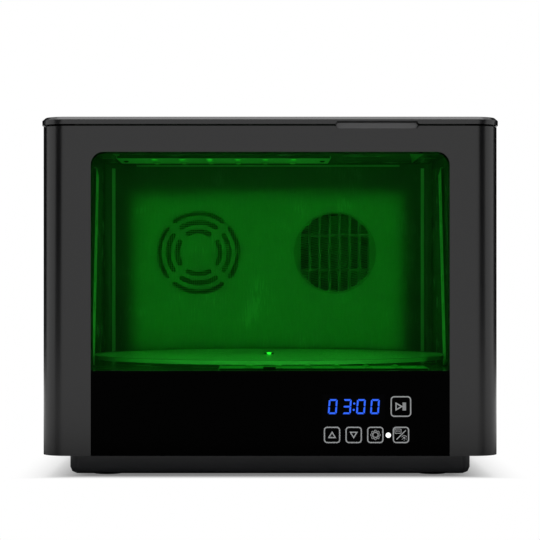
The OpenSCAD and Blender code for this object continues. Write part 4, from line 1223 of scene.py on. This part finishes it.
@dataclass
class LedBoard:
    """Packages, pads, traces and end screws of one LED board. Sizes in millimetres."""

    board: str
    leds: str
    body: str
    outward: Point3
    along: Point3
    package: float = 6.8
    package_h: float = 0.35
    pad: Point2 = (1.6, 3.4)
    trace_w: float = 1.1
    hole_inset: float = 6.4
    screw_head: Point2 = (4.6, 1.2)
    screw_finish: str = "chip_black"

    def build(self) -> None:
        """Make the board's parts round its LEDs."""
        z = Vector(self.outward).normalized()
        x = Vector(self.along).normalized()
        y = z.cross(x)
        turn = Matrix((x, y, z)).transposed().to_4x4()
        places = []
        for low, high in islands(self.leds):
            places.append((low + high) / 2 - z * abs(z.dot(high - low)) / 2)
        packages, pads = bmesh.new(), bmesh.new()
        for spot in places:
            place = Matrix.Translation(spot) @ turn
            block(packages, place, (self.package, self.package, self.package_h), 0.12)
            for side in (-1, 1):
                shift = at((side * (self.package + self.pad[0]) / 2, 0, 0))
                block(pads, place @ shift, (*self.pad, 0.12), 0.05)
        finished(self.board + "_packages", packages, "led_board_white", self.body)
        finished(self.board + "_pads", pads, "solder", self.body)
        self.traces(places, turn, y)
        self.screws(turn, z)

    def screws(self, turn: Matrix, outward: Vector) -> None:
        """Add a button-head screw at each end of the board.

        Args:
            turn: The board's directions.
            outward: The direction that its face looks in.
        """
        corners = [vert.co for vert in frame["nodes"][self.board].data.vertices]
        across = turn.to_3x3().transposed()
        local = [across @ corner for corner in corners]
        low = Vector(min(point[i] for point in local) for i in range(3))
        high = Vector(max(point[i] for point in local) for i in range(3))
        mesh = bmesh.new()
        width, height = self.screw_head
        for end in (low.x + self.hole_inset * MM, high.x - self.hole_inset * MM):
            spot = turn.to_3x3() @ Vector((end, (low.y + high.y) / 2, high.z))
            place = Matrix.Translation(spot) @ turn
            lathe(mesh, place, [(width / 2, 0), (width / 2, height * 0.3), (width / 4, height)], 20)
        finished(self.board + "_screws", mesh, self.screw_finish, self.body)

    def traces(self, places: list[Vector], turn: Matrix, across: Vector) -> None:
        """Add a trace along each row of LEDs.

        Args:
            places: The LEDs' places on the board.
            turn: The board's directions.
            across: The board's direction across its rows.
        """
        along = turn.to_3x3().col[0]
        rows: dict[int, list[Vector]] = {}
        for spot in places:
            rows.setdefault(round(across.dot(spot) / MM), []).append(spot)
        mesh = bmesh.new()
        for row in rows.values():
            row.sort(key=along.dot)
            for a, b in zip(row, row[1:]):
                gap = (b - a).length / MM - self.package - 2 * self.pad[0]
                place = Matrix.Translation((a + b) / 2) @ turn
                block(mesh, place, (gap, self.trace_w, 0.06), 0.02)
        finished(self.board + "_traces", mesh, "trace_grey", self.body)


@dataclass
class Chamber:
    """Details of the curing chamber: the boards' parts, and pale strips and sheets on the liner and tray
    that are painted highlights.
    """

    lean: float = 14.5
    # Size and place of the pale strips in the rear corners, which are painted highlights.
    highlight_w: float = 3.2
    highlight_inset: float = 1.7
    highlight_drop: float = 9.8
    lip_rise: float = 2.5
    lip_gap: float = 2.4

    def boards(self) -> list[LedBoard]:
        """List the four LED boards.

        Returns:
            The boards.
        """
        tilt = math.radians(self.lean)
        slope = (0.0, math.sin(tilt), math.cos(tilt))
        across = (1, 0, 0)
        rows = (
            ("floor", "cabinet", (0, 0, 1), across, "white_screw_and_painted_highlight"),
            ("lid", "lid", (0, 0, -1), across, "chip_black"),
            ("left", "cabinet", (1, 0, 0), slope, "white_screw_and_painted_highlight"),
            ("right", "cabinet", (-1, 0, 0), slope, "white_screw_and_painted_highlight"),
        )
        return [
            LedBoard(f"{name}_led_board", f"{name}_leds", body, outward, along, screw_finish=screws)
            for name, body, outward, along, screws in rows
        ]

    def build(self) -> None:
        """Make the boards' parts and the painted highlights: strips in the rear corners, the lip's face and
        the tray's triangles.
        """
        for board in self.boards():
            board.build()
        self.painted_corner_highlights()
        self.lip_face()
        self.paint_tray_highlights()

    def painted_corner_highlights(self) -> None:
        """Make the narrow pale strips beside the chamber's rear corners: painted highlights where the
        liner's bends catch the light.
        """
        low, high, _ = box_mm("chamber_rear_sheet")
        mesh = bmesh.new()
        for x in (low.x + self.highlight_inset, high.x - self.highlight_inset):
            place = at((x, low.y, (low.z + high.z - self.highlight_drop) / 2), 90)
            block(mesh, place, (self.highlight_w, high.z - low.z - self.highlight_drop - 0.6, 0.6), 0.2)
        finished("painted_corner_highlights", mesh, "white_screw_and_painted_highlight", "cabinet")

    def lip_face(self) -> None:
        """Lay a pale sheet on the slanted face of the tray's lip: a painted highlight where it catches the
        light.
        """
        corners = [vert.co / MM for vert in frame["nodes"]["lid_tray"].data.vertices]
        bottom = min(point.z for point in corners)
        lip = [point for point in corners if point.z < bottom + 0.01]
        half = max(point.x for point in lip) - 0.4
        front, rear = min(point.y for point in lip), max(point.y for point in lip)
        run, rise = (rear - front) * 2, self.lip_rise
        start = Vector((0, front - run, bottom + rise))
        slope = Vector((0, run, -rise))
        across = Vector((-1, 0, 0))
        normal = across.cross(slope).normalized()
        place = Matrix((across, slope.normalized(), normal)).transposed().to_4x4()
        sheet = Sheet(Matrix.Translation(start * MM) @ place, 0.05)
        length = slope.length
        sheet.area([(-half, self.lip_gap), (half, self.lip_gap), (half, length), (-half, length)])
        sheet.piece("tray_lip_painted_highlight", "facet_grey", "lid")

    def paint_tray_highlights(self) -> None:
        """Add pale triangles flat on the tray's underside: painted highlights where it catches the light."""
        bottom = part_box("lid_led_board")[1].z
        place = Matrix.Translation((0, 0, bottom)) @ Matrix.Rotation(math.pi, 4, "X")
        right = [(121.6, -35.0), (135.4, -35.0), (135.0, 107.0)]
        left = [(-138.0, -35.0), (-128.6, -35.0), (-135.0, 40.0)]
        for name, points in (("left", left), ("right", right)):
            sheet = Sheet(place, 0.05)
            sheet.area([(x, -y) for x, y in points])
            sheet.piece(f"tray_painted_highlight_{name}", "facet_grey", "lid")


@dataclass
class Turntable:
    """The screw that holds the disc, with a painted highlight on its head, its dark lugs, a dark ring of
    painted shade round the disc's top edge, and the sensor block under the disc.
    """

    lugs: Point3 = (8.4, 1.8, 1.25)
    head: tuple[Point2, ...] = ((2.4, 0.4), (2.4, 1.4), (2.1, 1.58), (1.2, 1.58), (1.2, 0.9))
    head_h: float = 1.6
    shank_r: float = 1.7
    # Width and rise of the dark ring round the disc's top edge, which is painted shade.
    bead: Point2 = (0.9, 0.42)
    sensor: Point3 = (10.4, 4.2, 1.2)
    hook: Point3 = (10.4, 1.1, 3.0)

    def build(self) -> None:
        """Make the screw with its painted highlight, its lugs, the painted shade line round the disc's rim
        and the sensor block.
        """
        low, high, middle = box_mm("turntable_screw")
        seat = at((middle.x, middle.y, high.z - self.head_h))
        mesh = bmesh.new()
        block(mesh, seat @ at((0, 0, 0.02)), self.lugs, 0.3)
        finished("turntable_lugs", mesh, "chip_black", "turntable")
        disc_low, disc_high, disc = box_mm("turntable_disc")
        radius = (disc_high.x - disc_low.x) / 2
        place = at((disc.x, disc.y, disc_high.z))
        inner, rise = radius - self.bead[0], self.bead[1]
        section = [(inner, -0.02), (radius - 0.12, -0.02), (radius - 0.12, rise), (inner, rise)]
        turned = [place @ Matrix.Rotation(math.tau * i / 180, 4, "Z") for i in range(181)]
        # A dark ring just inside the disc's top edge: painted shade.
        mesh = bmesh.new()
        shell(mesh, [[spun @ (Vector((r, 0, h)) * MM) for r, h in section] for spun in turned], True, False)
        finished("turntable_painted_shade_line", mesh, "painted_shade_green", "turntable")
        mesh = bmesh.new()
        lathe(mesh, seat, self.head, 6)
        shank = high.z - self.head_h - low.z
        lathe(mesh, seat, [(self.shank_r, -shank), (self.shank_r, 0.5)], 24)
        # The screw's finish glows: a painted highlight on its head.
        screw = finished("turntable_screw_detail", mesh, "screw_painted_highlight", "turntable")
        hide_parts("turntable_screw")
        board_low, board_high, _ = box_mm("floor_led_board")
        mesh = bmesh.new()
        sensor_y = board_low.y + self.sensor[1] / 2 - 0.3
        block(mesh, at((middle.x, sensor_y, board_high.z)), self.sensor, 0.2)
        block(mesh, at((middle.x, board_low.y - 0.75, board_low.z + 0.1)), self.hook, 0.2)
        finished("table_sensor", mesh, "chip_black", "cabinet")


@dataclass
class AirPath:
    """Impellers, mesh, fins and filter mats of the two air openings. Sizes in millimetres."""

    blades: int = 7
    hub_r: float = 16.0
    tip_gap: float = 1.0
    bore_r: float = 38.0
    depth: float = 20.2
    wire: float = 0.62
    wire_pitch: float = 2.0
    wire_r: float = 42.6
    fin_period: float = 2.3
    fin_t: float = 0.28
    columns: int = 7
    column_pitch: float = 9.5
    tube_t: float = 1.6
    mat: Point3 = (75.6, 75.6, 1.8)

    def build(self) -> None:
        """Make both impellers, the wire mesh, the fins and the mats."""
        self.impeller("exhaust_impeller", "exhaust_fan")
        self.impeller("heater_impeller", "heater_fan")
        self.wire_mesh()
        self.fins()
        panel_front = box_mm("rear_panel")[0].y
        for name, source in (("exhaust_mat", "exhaust_fan_frame"), ("heater_mat", "heater_fan_frame")):
            self.filter_mat(name, source, panel_front)

    @staticmethod
    def fan_place(name: str) -> Matrix:
        """Frame of a fan: origin on its axis at its front, Z towards the rear.

        Args:
            name: A node on the fan's axis.

        Returns:
            The frame.
        """
        low, _, middle = box_mm(name)
        return at((middle.x, low.y, middle.z), -90)

    def impeller(self, node: str, body: str) -> None:
        """Make one impeller with curved blades.

        Args:
            node: The plain impeller that it stands for.
            body: The body that turns.
        """
        place = self.fan_place(node)
        mesh = bmesh.new()
        hub = [(self.hub_r - 2.5, 0.3), (self.hub_r - 0.6, 0.6), (self.hub_r, 1.6),
               (self.hub_r, self.depth), (1.5, self.depth), (1.5, self.depth + 3.2)]
        lathe(mesh, place, hub, 48)
        for i in range(self.blades):
            self.blade(mesh, place @ Matrix.Rotation(math.tau * i / self.blades, 4, "Z"))
        made = finished(node + "_detail", mesh, "fan_plastic", body)
        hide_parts(node)

    def blade(self, mesh: bmesh.types.BMesh, place: Matrix) -> None:
        """Add one blade, swept, twisted and cambered.

        Args:
            mesh: The mesh that it goes into.
            place: Frame of the fan, turned to the blade.
        """
        tip = self.bore_r - self.tip_gap
        rows, cols, skins = 7, 8, []
        for side in (0.0, 1.0):
            skin = []
            for i in range(rows + 1):
                s = i / rows
                radius = self.hub_r - 0.8 + (tip - self.hub_r + 0.8) * s
                chord = math.radians(44 - 6 * s)
                pitch = math.radians(42 - 14 * s)
                line = []
                for j in range(cols + 1):
                    u = j / cols - 0.5
                    angle = u * chord + 0.22 * s * s
                    rise = u * min(18.6, 2 * radius * math.sin(chord / 2) * math.tan(pitch) * 1.25)
                    level = self.depth / 2 + rise + 1.1 * (1 - 4 * u * u) + side * 1.2
                    level = min(max(level, 0.5), self.depth)
                    point = Vector((radius * math.cos(angle), radius * math.sin(angle), level)) * MM
                    line.append(place @ point)
                skin.append(line)
            skins.append(skin)
        front_skin, back_skin = skins
        rings = [front_line + back_line[::-1] for front_line, back_line in zip(front_skin, back_skin)]
        shell(mesh, rings, True, True)

    def wire_mesh(self) -> None:
        """Make the woven mesh behind the extraction slots."""
        centre = box_mm("vent_screen")[2]
        mesh = bmesh.new()
        half = self.wire / 2
        count = int(self.wire_r / self.wire_pitch)
        for i in range(-count, count + 1):
            offset = i * self.wire_pitch
            reach = math.sqrt(max(0.0, self.wire_r**2 - offset**2))
            for upright in (False, True):
                y = centre.y + (0.16 if upright else -0.16)
                rings = []
                for end in (-reach, reach):
                    ring = []
                    for da, dy in ((-half, 0), (0, -half * 0.8), (half, 0), (0, half * 0.8)):
                        x, z = (offset + da, end) if upright else (end, offset + da)
                        ring.append(Vector((centre.x + x, y + dy, centre.z + z)) * MM)
                    rings.append(ring)
                shell(mesh, rings, True, True)
        place = at(centre, -90)
        inner, outer = self.wire_r - 1.4, self.wire_r + 0.2
        rim = [(inner, -0.45), (outer, -0.45), (outer, 0.45), (inner, 0.45)]
        steps = 72
        rings = [[place @ Vector((r * MM * math.cos(a), r * MM * math.sin(a), h * MM)) for r, h in rim]
                 for a in (math.tau * i / steps for i in range(steps + 1))]
        shell(mesh, rings, True, False)
        made = finished("vent_mesh", mesh, "screen_metal", "cabinet")
        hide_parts("vent_screen")

    def fins(self) -> None:
        """Make the heater's folded fins between its flat tubes."""
        low, high, centre = box_mm("heater_fins")
        mesh = bmesh.new()
        height = high.z - low.z
        reach = (self.column_pitch - self.tube_t) / 2 - 0.05
        turns = int(height / self.fin_period)
        for column in range(self.columns):
            x0 = centre.x + (column - (self.columns - 1) / 2) * self.column_pitch
            path = []
            for i in range(turns):
                start = low.z + 0.3 + i * self.fin_period
                quarter = self.fin_period / 4
                for k, side in ((0, -1), (0.9, -1), (2, 1), (2.9, 1)):
                    path.append((x0 + side * reach, start + k * quarter))
            left = offset_path(path, self.fin_t / 2, False)
            right = offset_path(path, -self.fin_t / 2, False)
            outline = [*left, *right[::-1]]
            rings = [[Vector((x, y, z)) * MM for x, z in outline] for y in (low.y + 0.6, high.y - 0.6)]
            shell(mesh, rings, True, False)
            for y in (low.y + 0.6, high.y - 0.6):
                for i in range(len(path) - 1):
                    corners = (left[i], left[i + 1], right[i + 1], right[i])
                    mesh.faces.new([mesh.verts.new(Vector((x, y, z)) * MM) for x, z in corners])
        bmesh.ops.remove_doubles(mesh, verts=mesh.verts, dist=1e-7)
        made = finished("heater_fins_detail", mesh, "fin_aluminium", "cabinet")
        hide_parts("heater_fins")
        mesh = bmesh.new()
        for column in range(self.columns + 1):
            x0 = centre.x + (column - self.columns / 2) * self.column_pitch
            block(mesh, at((x0, low.y, centre.z), -90), (self.tube_t, height, high.y - low.y), 0.2)
        finished("heater_tubes", mesh, "tube_metal", "cabinet")

    def filter_mat(self, name: str, source: str, rear: float) -> None:
        """Make a foam mat just in front of the rear panel's slots.

        Args:
            name: The piece's name.
            source: The fan frame on whose axis it lies.
            rear: Where the rear panel starts, in millimetres.
        """
        middle = box_mm(source)[2]
        mesh = bmesh.new()
        block(mesh, at((middle.x, rear - 0.1, middle.z), 90), self.mat, 0.5)
        finished(name, mesh, "filter_foam", "cabinet")


@dataclass
class RearDetails:
    """Contact pins of the inlet and the marks on the rocker. Sizes in millimetres."""

    mouth_depth: float = 17.0
    pin_recess: float = 5.0
    pin_places: tuple[Point2, ...] = ((-7, 0), (7, 0), (0, 4))
    pin_size: Point2 = (2.0, 4.0)
    tilt: float = 7.0
    face_low: Point2 = (3.5, 0.0)
    face_high: Point2 = (4.5, 7.5)

    def build(self) -> None:
        """Make the pins' metal sleeves and the rocker's marks."""
        _, high, centre = box_mm("power_inlet")
        mesh = bmesh.new()
        for x, z in self.pin_places:
            place = at((centre.x + x, high.y - self.mouth_depth + 0.1, centre.z + z - 2), -90)
            width, height = self.pin_size
            block(mesh, place, (width + 0.12, height + 0.12, self.mouth_depth - self.pin_recess), 0.5)
        finished("inlet_pins", mesh, "bright_steel", "cabinet")
        self.marks()

    def marks(self) -> None:
        """Print the two signs of the mains switch on the rocker's halves."""
        pivot = frame_joint("rocker_tilt") / MM
        pivot.x = box_mm("rocker_cap")[2].x
        base = at(pivot, self.tilt)
        for name, side in (("upper", 1), ("lower", -1)):
            across, rise = (b - a for a, b in zip(self.face_low, self.face_high))
            run = Vector((0, across, side * rise))
            up = run.normalized() * side
            normal = Vector((-1, 0, 0)).cross(up)
            foot = Vector((0, self.face_low[0], self.face_low[1])) + run * 0.52
            basis = Matrix((Vector((-1, 0, 0)), up, normal)).transposed().to_4x4()
            sheet = Sheet(base @ Matrix.Translation(foot * MM) @ basis, 0.04)
            if side > 0:
                sheet.line(arc((0, 0), 1.5, 0, 360, 28)[:-1], 0.5, True)
            else:
                sheet.area([(-0.28, -1.7), (0.28, -1.7), (0.28, 1.7), (-0.28, 1.7)])
            sheet.piece(f"rocker_mark_{name}", "mark_white", "rocker")


def frame_joint(name: str) -> Vector:
    """Place of a joint in the record.

    Args:
        name: The joint.

    Returns:
        Its place in metres.
    """
    joints = frame["record"]["behaviour"]["joints"]
    return Vector(next(joint["pos_m"] for joint in joints if joint["name"] == name))


@dataclass
class Wiring:
    """Cables between the boards, the supply and the inlet, and parts on the boards."""

    thick: float = 4.6
    thin: float = 2.4
    turn: float = 40.0

    def build(self) -> None:
        """Make the three cables and the boards' chips."""
        nodes = ("driver_board", "power_supply", "power_inlet", "control_board")
        driver, supply, inlet, control = (box_mm(name) for name in nodes)
        level, driver_x, supply_y = driver[0].z + 8.8, driver[2].x, supply[2].y
        inlet_x, inlet_z = inlet[2].x, inlet[2].z
        turn_y = driver[1].y + self.turn / 3
        bend_x = supply[0].x - self.turn
        control_x, control_z = control[2].x - 10, control[2].z
        signal_y = driver[0].y + 15
        supply_path = [
            (supply[0].x, supply_y, level), (bend_x + 14, supply_y, level), (bend_x, supply_y - 2, level),
            (bend_x - 2, turn_y + 4, level), (bend_x - 16, turn_y, level), (driver_x + 14, turn_y, level),
            (driver_x + 1, turn_y - 3, level), (driver_x, driver[1].y - 1, level),
        ]
        mains_path = [
            (inlet_x, inlet[0].y + 1, inlet_z), (inlet_x, inlet[0].y - 9, inlet_z - 1),
            (inlet_x, inlet[0].y - 15, level + 5), (inlet_x, inlet[0].y - 26, level),
            (inlet_x, supply[1].y - 1, level),
        ]
        signal_path = [
            (driver[1].x - 1, signal_y, level), (control_x - 14, signal_y, level),
            (control_x, signal_y - 6, level + 2), (control_x, control[1].y + 12, control_z - 3),
            (control_x, control[1].y - 1, control_z),
        ]
        first = self.cable("supply_cable", supply_path, self.thick)
        self.cable("mains_cable", mains_path, self.thick)
        self.cable("signal_cable", signal_path, self.thin)
        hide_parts("wiring_loom")
        self.chips(driver, supply)

    @staticmethod
    def cable(name: str, points: Sequence[Point3], width: float) -> bpy.types.Object:
        """Make a smooth cable.

        Args:
            name: The piece's name.
            points: Points along it, in millimetres.
            width: Its diameter.

        Returns:
            The piece.
        """
        data = bpy.data.curves.new(name, "CURVE")
        data.dimensions = "3D"
        data.bevel_depth = width / 2 * MM
        data.bevel_resolution = 4
        data.use_fill_caps = True
        spline = data.splines.new("NURBS")
        spline.points.add(len(points) - 1)
        for point, place in zip(spline.points, points):
            point.co = (*(value * MM for value in place), 1.0)
        spline.order_u = 3
        spline.use_endpoint_u = True
        data.materials.append(FINISHES["cable_black"].material())
        made = linked(name, data)
        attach(made, "cabinet")
        LOG.info("%s: cable of %d points", name, len(points))
        return made

    def chips(self, driver: Sequence[Vector], supply: Sequence[Vector]) -> None:
        """Add chips to the driver board and a terminal strip to the supply.

        Args:
            driver: Corners and middle of the driver board in millimetres.
            supply: Corners and middle of the power supply in millimetres.
        """
        mesh = bmesh.new()
        board_top = driver[0].z + 9.6
        for dx, dy, size in (
            (-34, 24, (14, 9, 2.2)), (-12, 26, (8, 6, 1.6)), (36, -20, (10, 10, 2)), (22, -14, (6, 4, 1.4)),
        ):
            block(mesh, at((driver[2].x + dx, driver[2].y + dy, board_top)), size, 0.3)
        finished("driver_chips", mesh, "chip_black", "cabinet")
        strip = bmesh.new()
        for i in range(7):
            place = at((supply[2].x + (i - 3) * 9.5, supply[0].y + 6, supply[0].z + 18))
            lathe(strip, place, [(3.1, 0), (3.1, 1.2), (2.6, 1.7), (0.4, 1.7)], 20)
        finished("supply_terminals", strip, "solder", "cabinet")


# Studio


@dataclass
class Studio:
    """Floor, backdrop, lamps and camera. Lengths in metres."""

    camera_place: Point3 = (-0.009, -1.631, 0.1486)
    lens: float = 123.33
    shift: Point2 = (0.0211, 0.0315)
    ambient: float = 0.55
    floor_size: float = 9.0
    shadow_x: Point2 = (140.0, 205.0)
    shadow_y: Point2 = (168.0, 196.0)
    shadow_middle: float = -4.0
    shadow_lift: float = 0.2

    def build(self) -> None:
        """Make everything round the object."""
        self.world()
        self.floor()
        self.flags()
        self.lamps()
        self.camera()
        bpy.context.scene.view_settings.view_transform = "Standard"

    def world(self) -> None:
        """White to the camera and in reflections, a plain level for the object's light."""
        made = bpy.data.worlds.new("studio")
        bpy.context.scene.world = made
        made.use_nodes = True
        graph = Graph(made.node_tree)
        path = graph.node("LightPath")
        seen = Value(graph, path.outputs["Is Camera Ray"])
        seen = seen.above(Value(graph, path.outputs["Is Glossy Ray"]))
        seen = seen.above(Value(graph, path.outputs["Is Transmission Ray"]))
        level = (self.ambient,) * 3 + (1.0,)
        colour = graph.mix(level, WHITE, seen)
        background = graph.node("Background", None, {"Color": colour, "Strength": 1.0})
        graph.feed(graph.node("OutputWorld").inputs["Surface"], background.outputs[0])

    def floor(self) -> None:
        """A pale floor that keeps the object's shadow and runs out into the white. In reflections the floor
        near the object is painted black: painted shade.
        """
        mesh = bmesh.new()
        bmesh.ops.create_grid(mesh, x_segments=1, y_segments=1, size=self.floor_size)
        data = bpy.data.meshes.new("floor")
        mesh.to_mesh(data)
        mesh.free()
        made = linked("floor", data)
        material = bpy.data.materials.new("floor")
        material.use_nodes = True
        data.materials.append(material)
        graph = Graph(material.node_tree)
        across, along, _ = graph.split(graph.place())
        aside, ahead = abs(across), abs(along - self.shadow_middle)
        near = aside.ramp(*self.shadow_x).above(ahead.ramp(*self.shadow_y))
        away = aside.above(ahead).ramp(220, 600)
        path = graph.node("LightPath")
        seen = Value(graph, path.outputs["Is Camera Ray"])
        mirrored = Value(graph, path.outputs["Is Glossy Ray"])
        mirrored = mirrored.above(Value(graph, path.outputs["Is Transmission Ray"]))
        matt = graph.node("BsdfDiffuse", None, {"Color": (0.86, 0.86, 0.86, 1.0)})
        white = graph.node("Emission", None, {"Color": WHITE, "Strength": 1.0})
        black = graph.node("Emission", None, {"Color": BLACK, "Strength": 0.0})
        share = seen * (near * (1 - self.shadow_lift) + self.shadow_lift)
        direct = graph.blend(share, matt, white)
        # Reflections see black near the object and white further out: painted shade for the shadow under it.
        mirror_painted_shade = graph.blend(away, black, white)
        both = graph.blend(mirrored, direct, mirror_painted_shade)
        graph.surface(both.outputs[0])

    def card(self, name: str, corners: Sequence[Point3], inner: bool = False) -> None:
        """Add a black card that only reflections see.

        Args:
            name: Its name.
            corners: Its corners in metres.
            inner: Whether it is for what shines back out through the window alone.
        """
        data = bpy.data.meshes.new(name)
        data.from_pydata(corners, [], [range(len(corners))])
        data.materials.append(FINISHES["flag_black"].material())
        made = linked(name, data)
        made.visible_camera = made.visible_diffuse = made.visible_shadow = False
        made.visible_glossy, made.visible_transmission = not inner, inner

    def upright_card(self, name: str, azimuth: float, distance: float, spread: float,
                     low: float, high: float, inner: bool = False) -> None:
        """Add a black card that stands square to its direction from the object's front.

        Args:
            name: Its name.
            azimuth: Its direction to the right of the camera's, in degrees.
            distance: Its distance in metres.
            spread: Half its width, in degrees.
            low: Height of its lower edge in metres.
            high: Height of its upper edge in metres.
            inner: Whether it is for what shines back out through the window alone.
        """
        start_x, start_y = self.camera_place[0] * (azimuth == 0), -0.199
        ends = [math.radians(azimuth + side * spread) for side in (-1, 1)]
        reach = distance / math.cos(math.radians(spread))
        feet = [(start_x + reach * math.sin(a), start_y - reach * math.cos(a)) for a in ends]
        self.card(name, [(*feet[0], low), (*feet[1], low), (*feet[1], high), (*feet[0], high)], inner)

    def flags(self) -> None:
        """Black cards round the object, which keep the fascia black and draw its corners' bands."""
        self.upright_card("flag_inner", 0, 4.0, 17, -0.05, 1.6, True)
        for side, name in ((-1, "left"), (1, "right")):
            self.upright_card(f"flag_front_{name}", 46 * side, 1.6, 14, 0.0, 1.5)
            self.upright_card(f"flag_side_{name}", 142 * side, 1.6, 30, 0.0, 1.5)

    def lamp(self, name: str, place: Point3, aim: Point3, size: Point2, radiance: float) -> bpy.types.Object:
        """Add a rectangular lamp.

        Args:
            name: Its name.
            place: Its middle.
            aim: The point that it faces.
            size: Its width and height.
            radiance: Its brightness, where 1 is white.

        Returns:
            The lamp's object.
        """
        data = bpy.data.lights.new(name, "AREA")
        data.shape = "RECTANGLE"
        data.size, data.size_y = size
        data.energy = radiance * math.pi * size[0] * size[1]
        made = linked(name, data)
        made.location = place
        made.rotation_mode = "QUATERNION"
        made.rotation_quaternion = (Vector(aim) - Vector(place)).to_track_quat("-Z", "Y")
        made.visible_camera = False
        return made

    def lamps(self) -> None:
        """Soft boxes above, in front and behind, and the beam that fills the chamber."""
        self.lamp("top_box", (0.0, -0.1, 1.5), (0.0, -0.05, 0.0), (1.3, 1.0), 2.4)
        self.lamp("front_box", (0.0, -2.3, 1.9), (0.0, 0.0, 0.15), (2.0, 0.8), 1.4)
        self.lamp("rear_box", (0.3, 2.2, 1.7), (0.0, 0.0, 0.15), (2.0, 0.8), 1.2)
        beam = self.lamp("window_beam", (0.0, -0.192, 0.16), (0.0, 0.1, 0.16), (0.256, 0.154), 1.0)
        beam.data.spread = math.radians(5)
        beam.data.energy = 0.058
        fill = self.lamp("window_fill", (0.0, -0.192, 0.163), (0.0, 0.1, 0.163), (0.256, 0.16), 1.0)
        fill.data.energy = 0.105
        down = self.lamp("lid_fill", (0.0, -0.033, 0.25), (0.0, -0.033, 0.0), (0.306, 0.3), 1.0)
        down.data.spread = math.radians(22)
        down.data.energy = 0.028
        for inside in (beam, fill, down):
            inside.data.color = linear("#5cff60")[:3]
            inside.visible_glossy = inside.visible_transmission = False

    def camera(self) -> None:
        """Add the camera at the photograph's place."""
        data = bpy.data.cameras.new("camera")
        data.lens, data.sensor_width = self.lens, 36.0
        data.shift_x, data.shift_y = self.shift
        data.clip_start, data.clip_end = 0.01, 50.0
        made = linked("camera", data)
        made.location = self.camera_place
        made.rotation_euler = (math.pi / 2, 0, 0)
        bpy.context.scene.camera = made


def main() -> None:
    """Build the looks of each sub-assembly, then the studio."""
    logging.basicConfig(level=logging.INFO, format="%(name)s %(message)s")
    Studio().build()
    Frame().dress()
    TimeDisplay().build()
    KeyPrints().build()
    Chamber().build()
    Turntable().build()
    AirPath().build()
    for node, body, outward in (
        ("hinge_screws", "cabinet", (0, 1, 0)),
        ("rear_screws", "cabinet", (0, 1, 0)),
        ("base_screws", "cabinet", (0, 0, -1)),
        ("lid_screws", "lid", (0, 0, -1)),
    ):
        PanScrews(node, body, outward).build()
    RearDetails().build()
    Wiring().build()


if __name__ == "__main__":
    main()
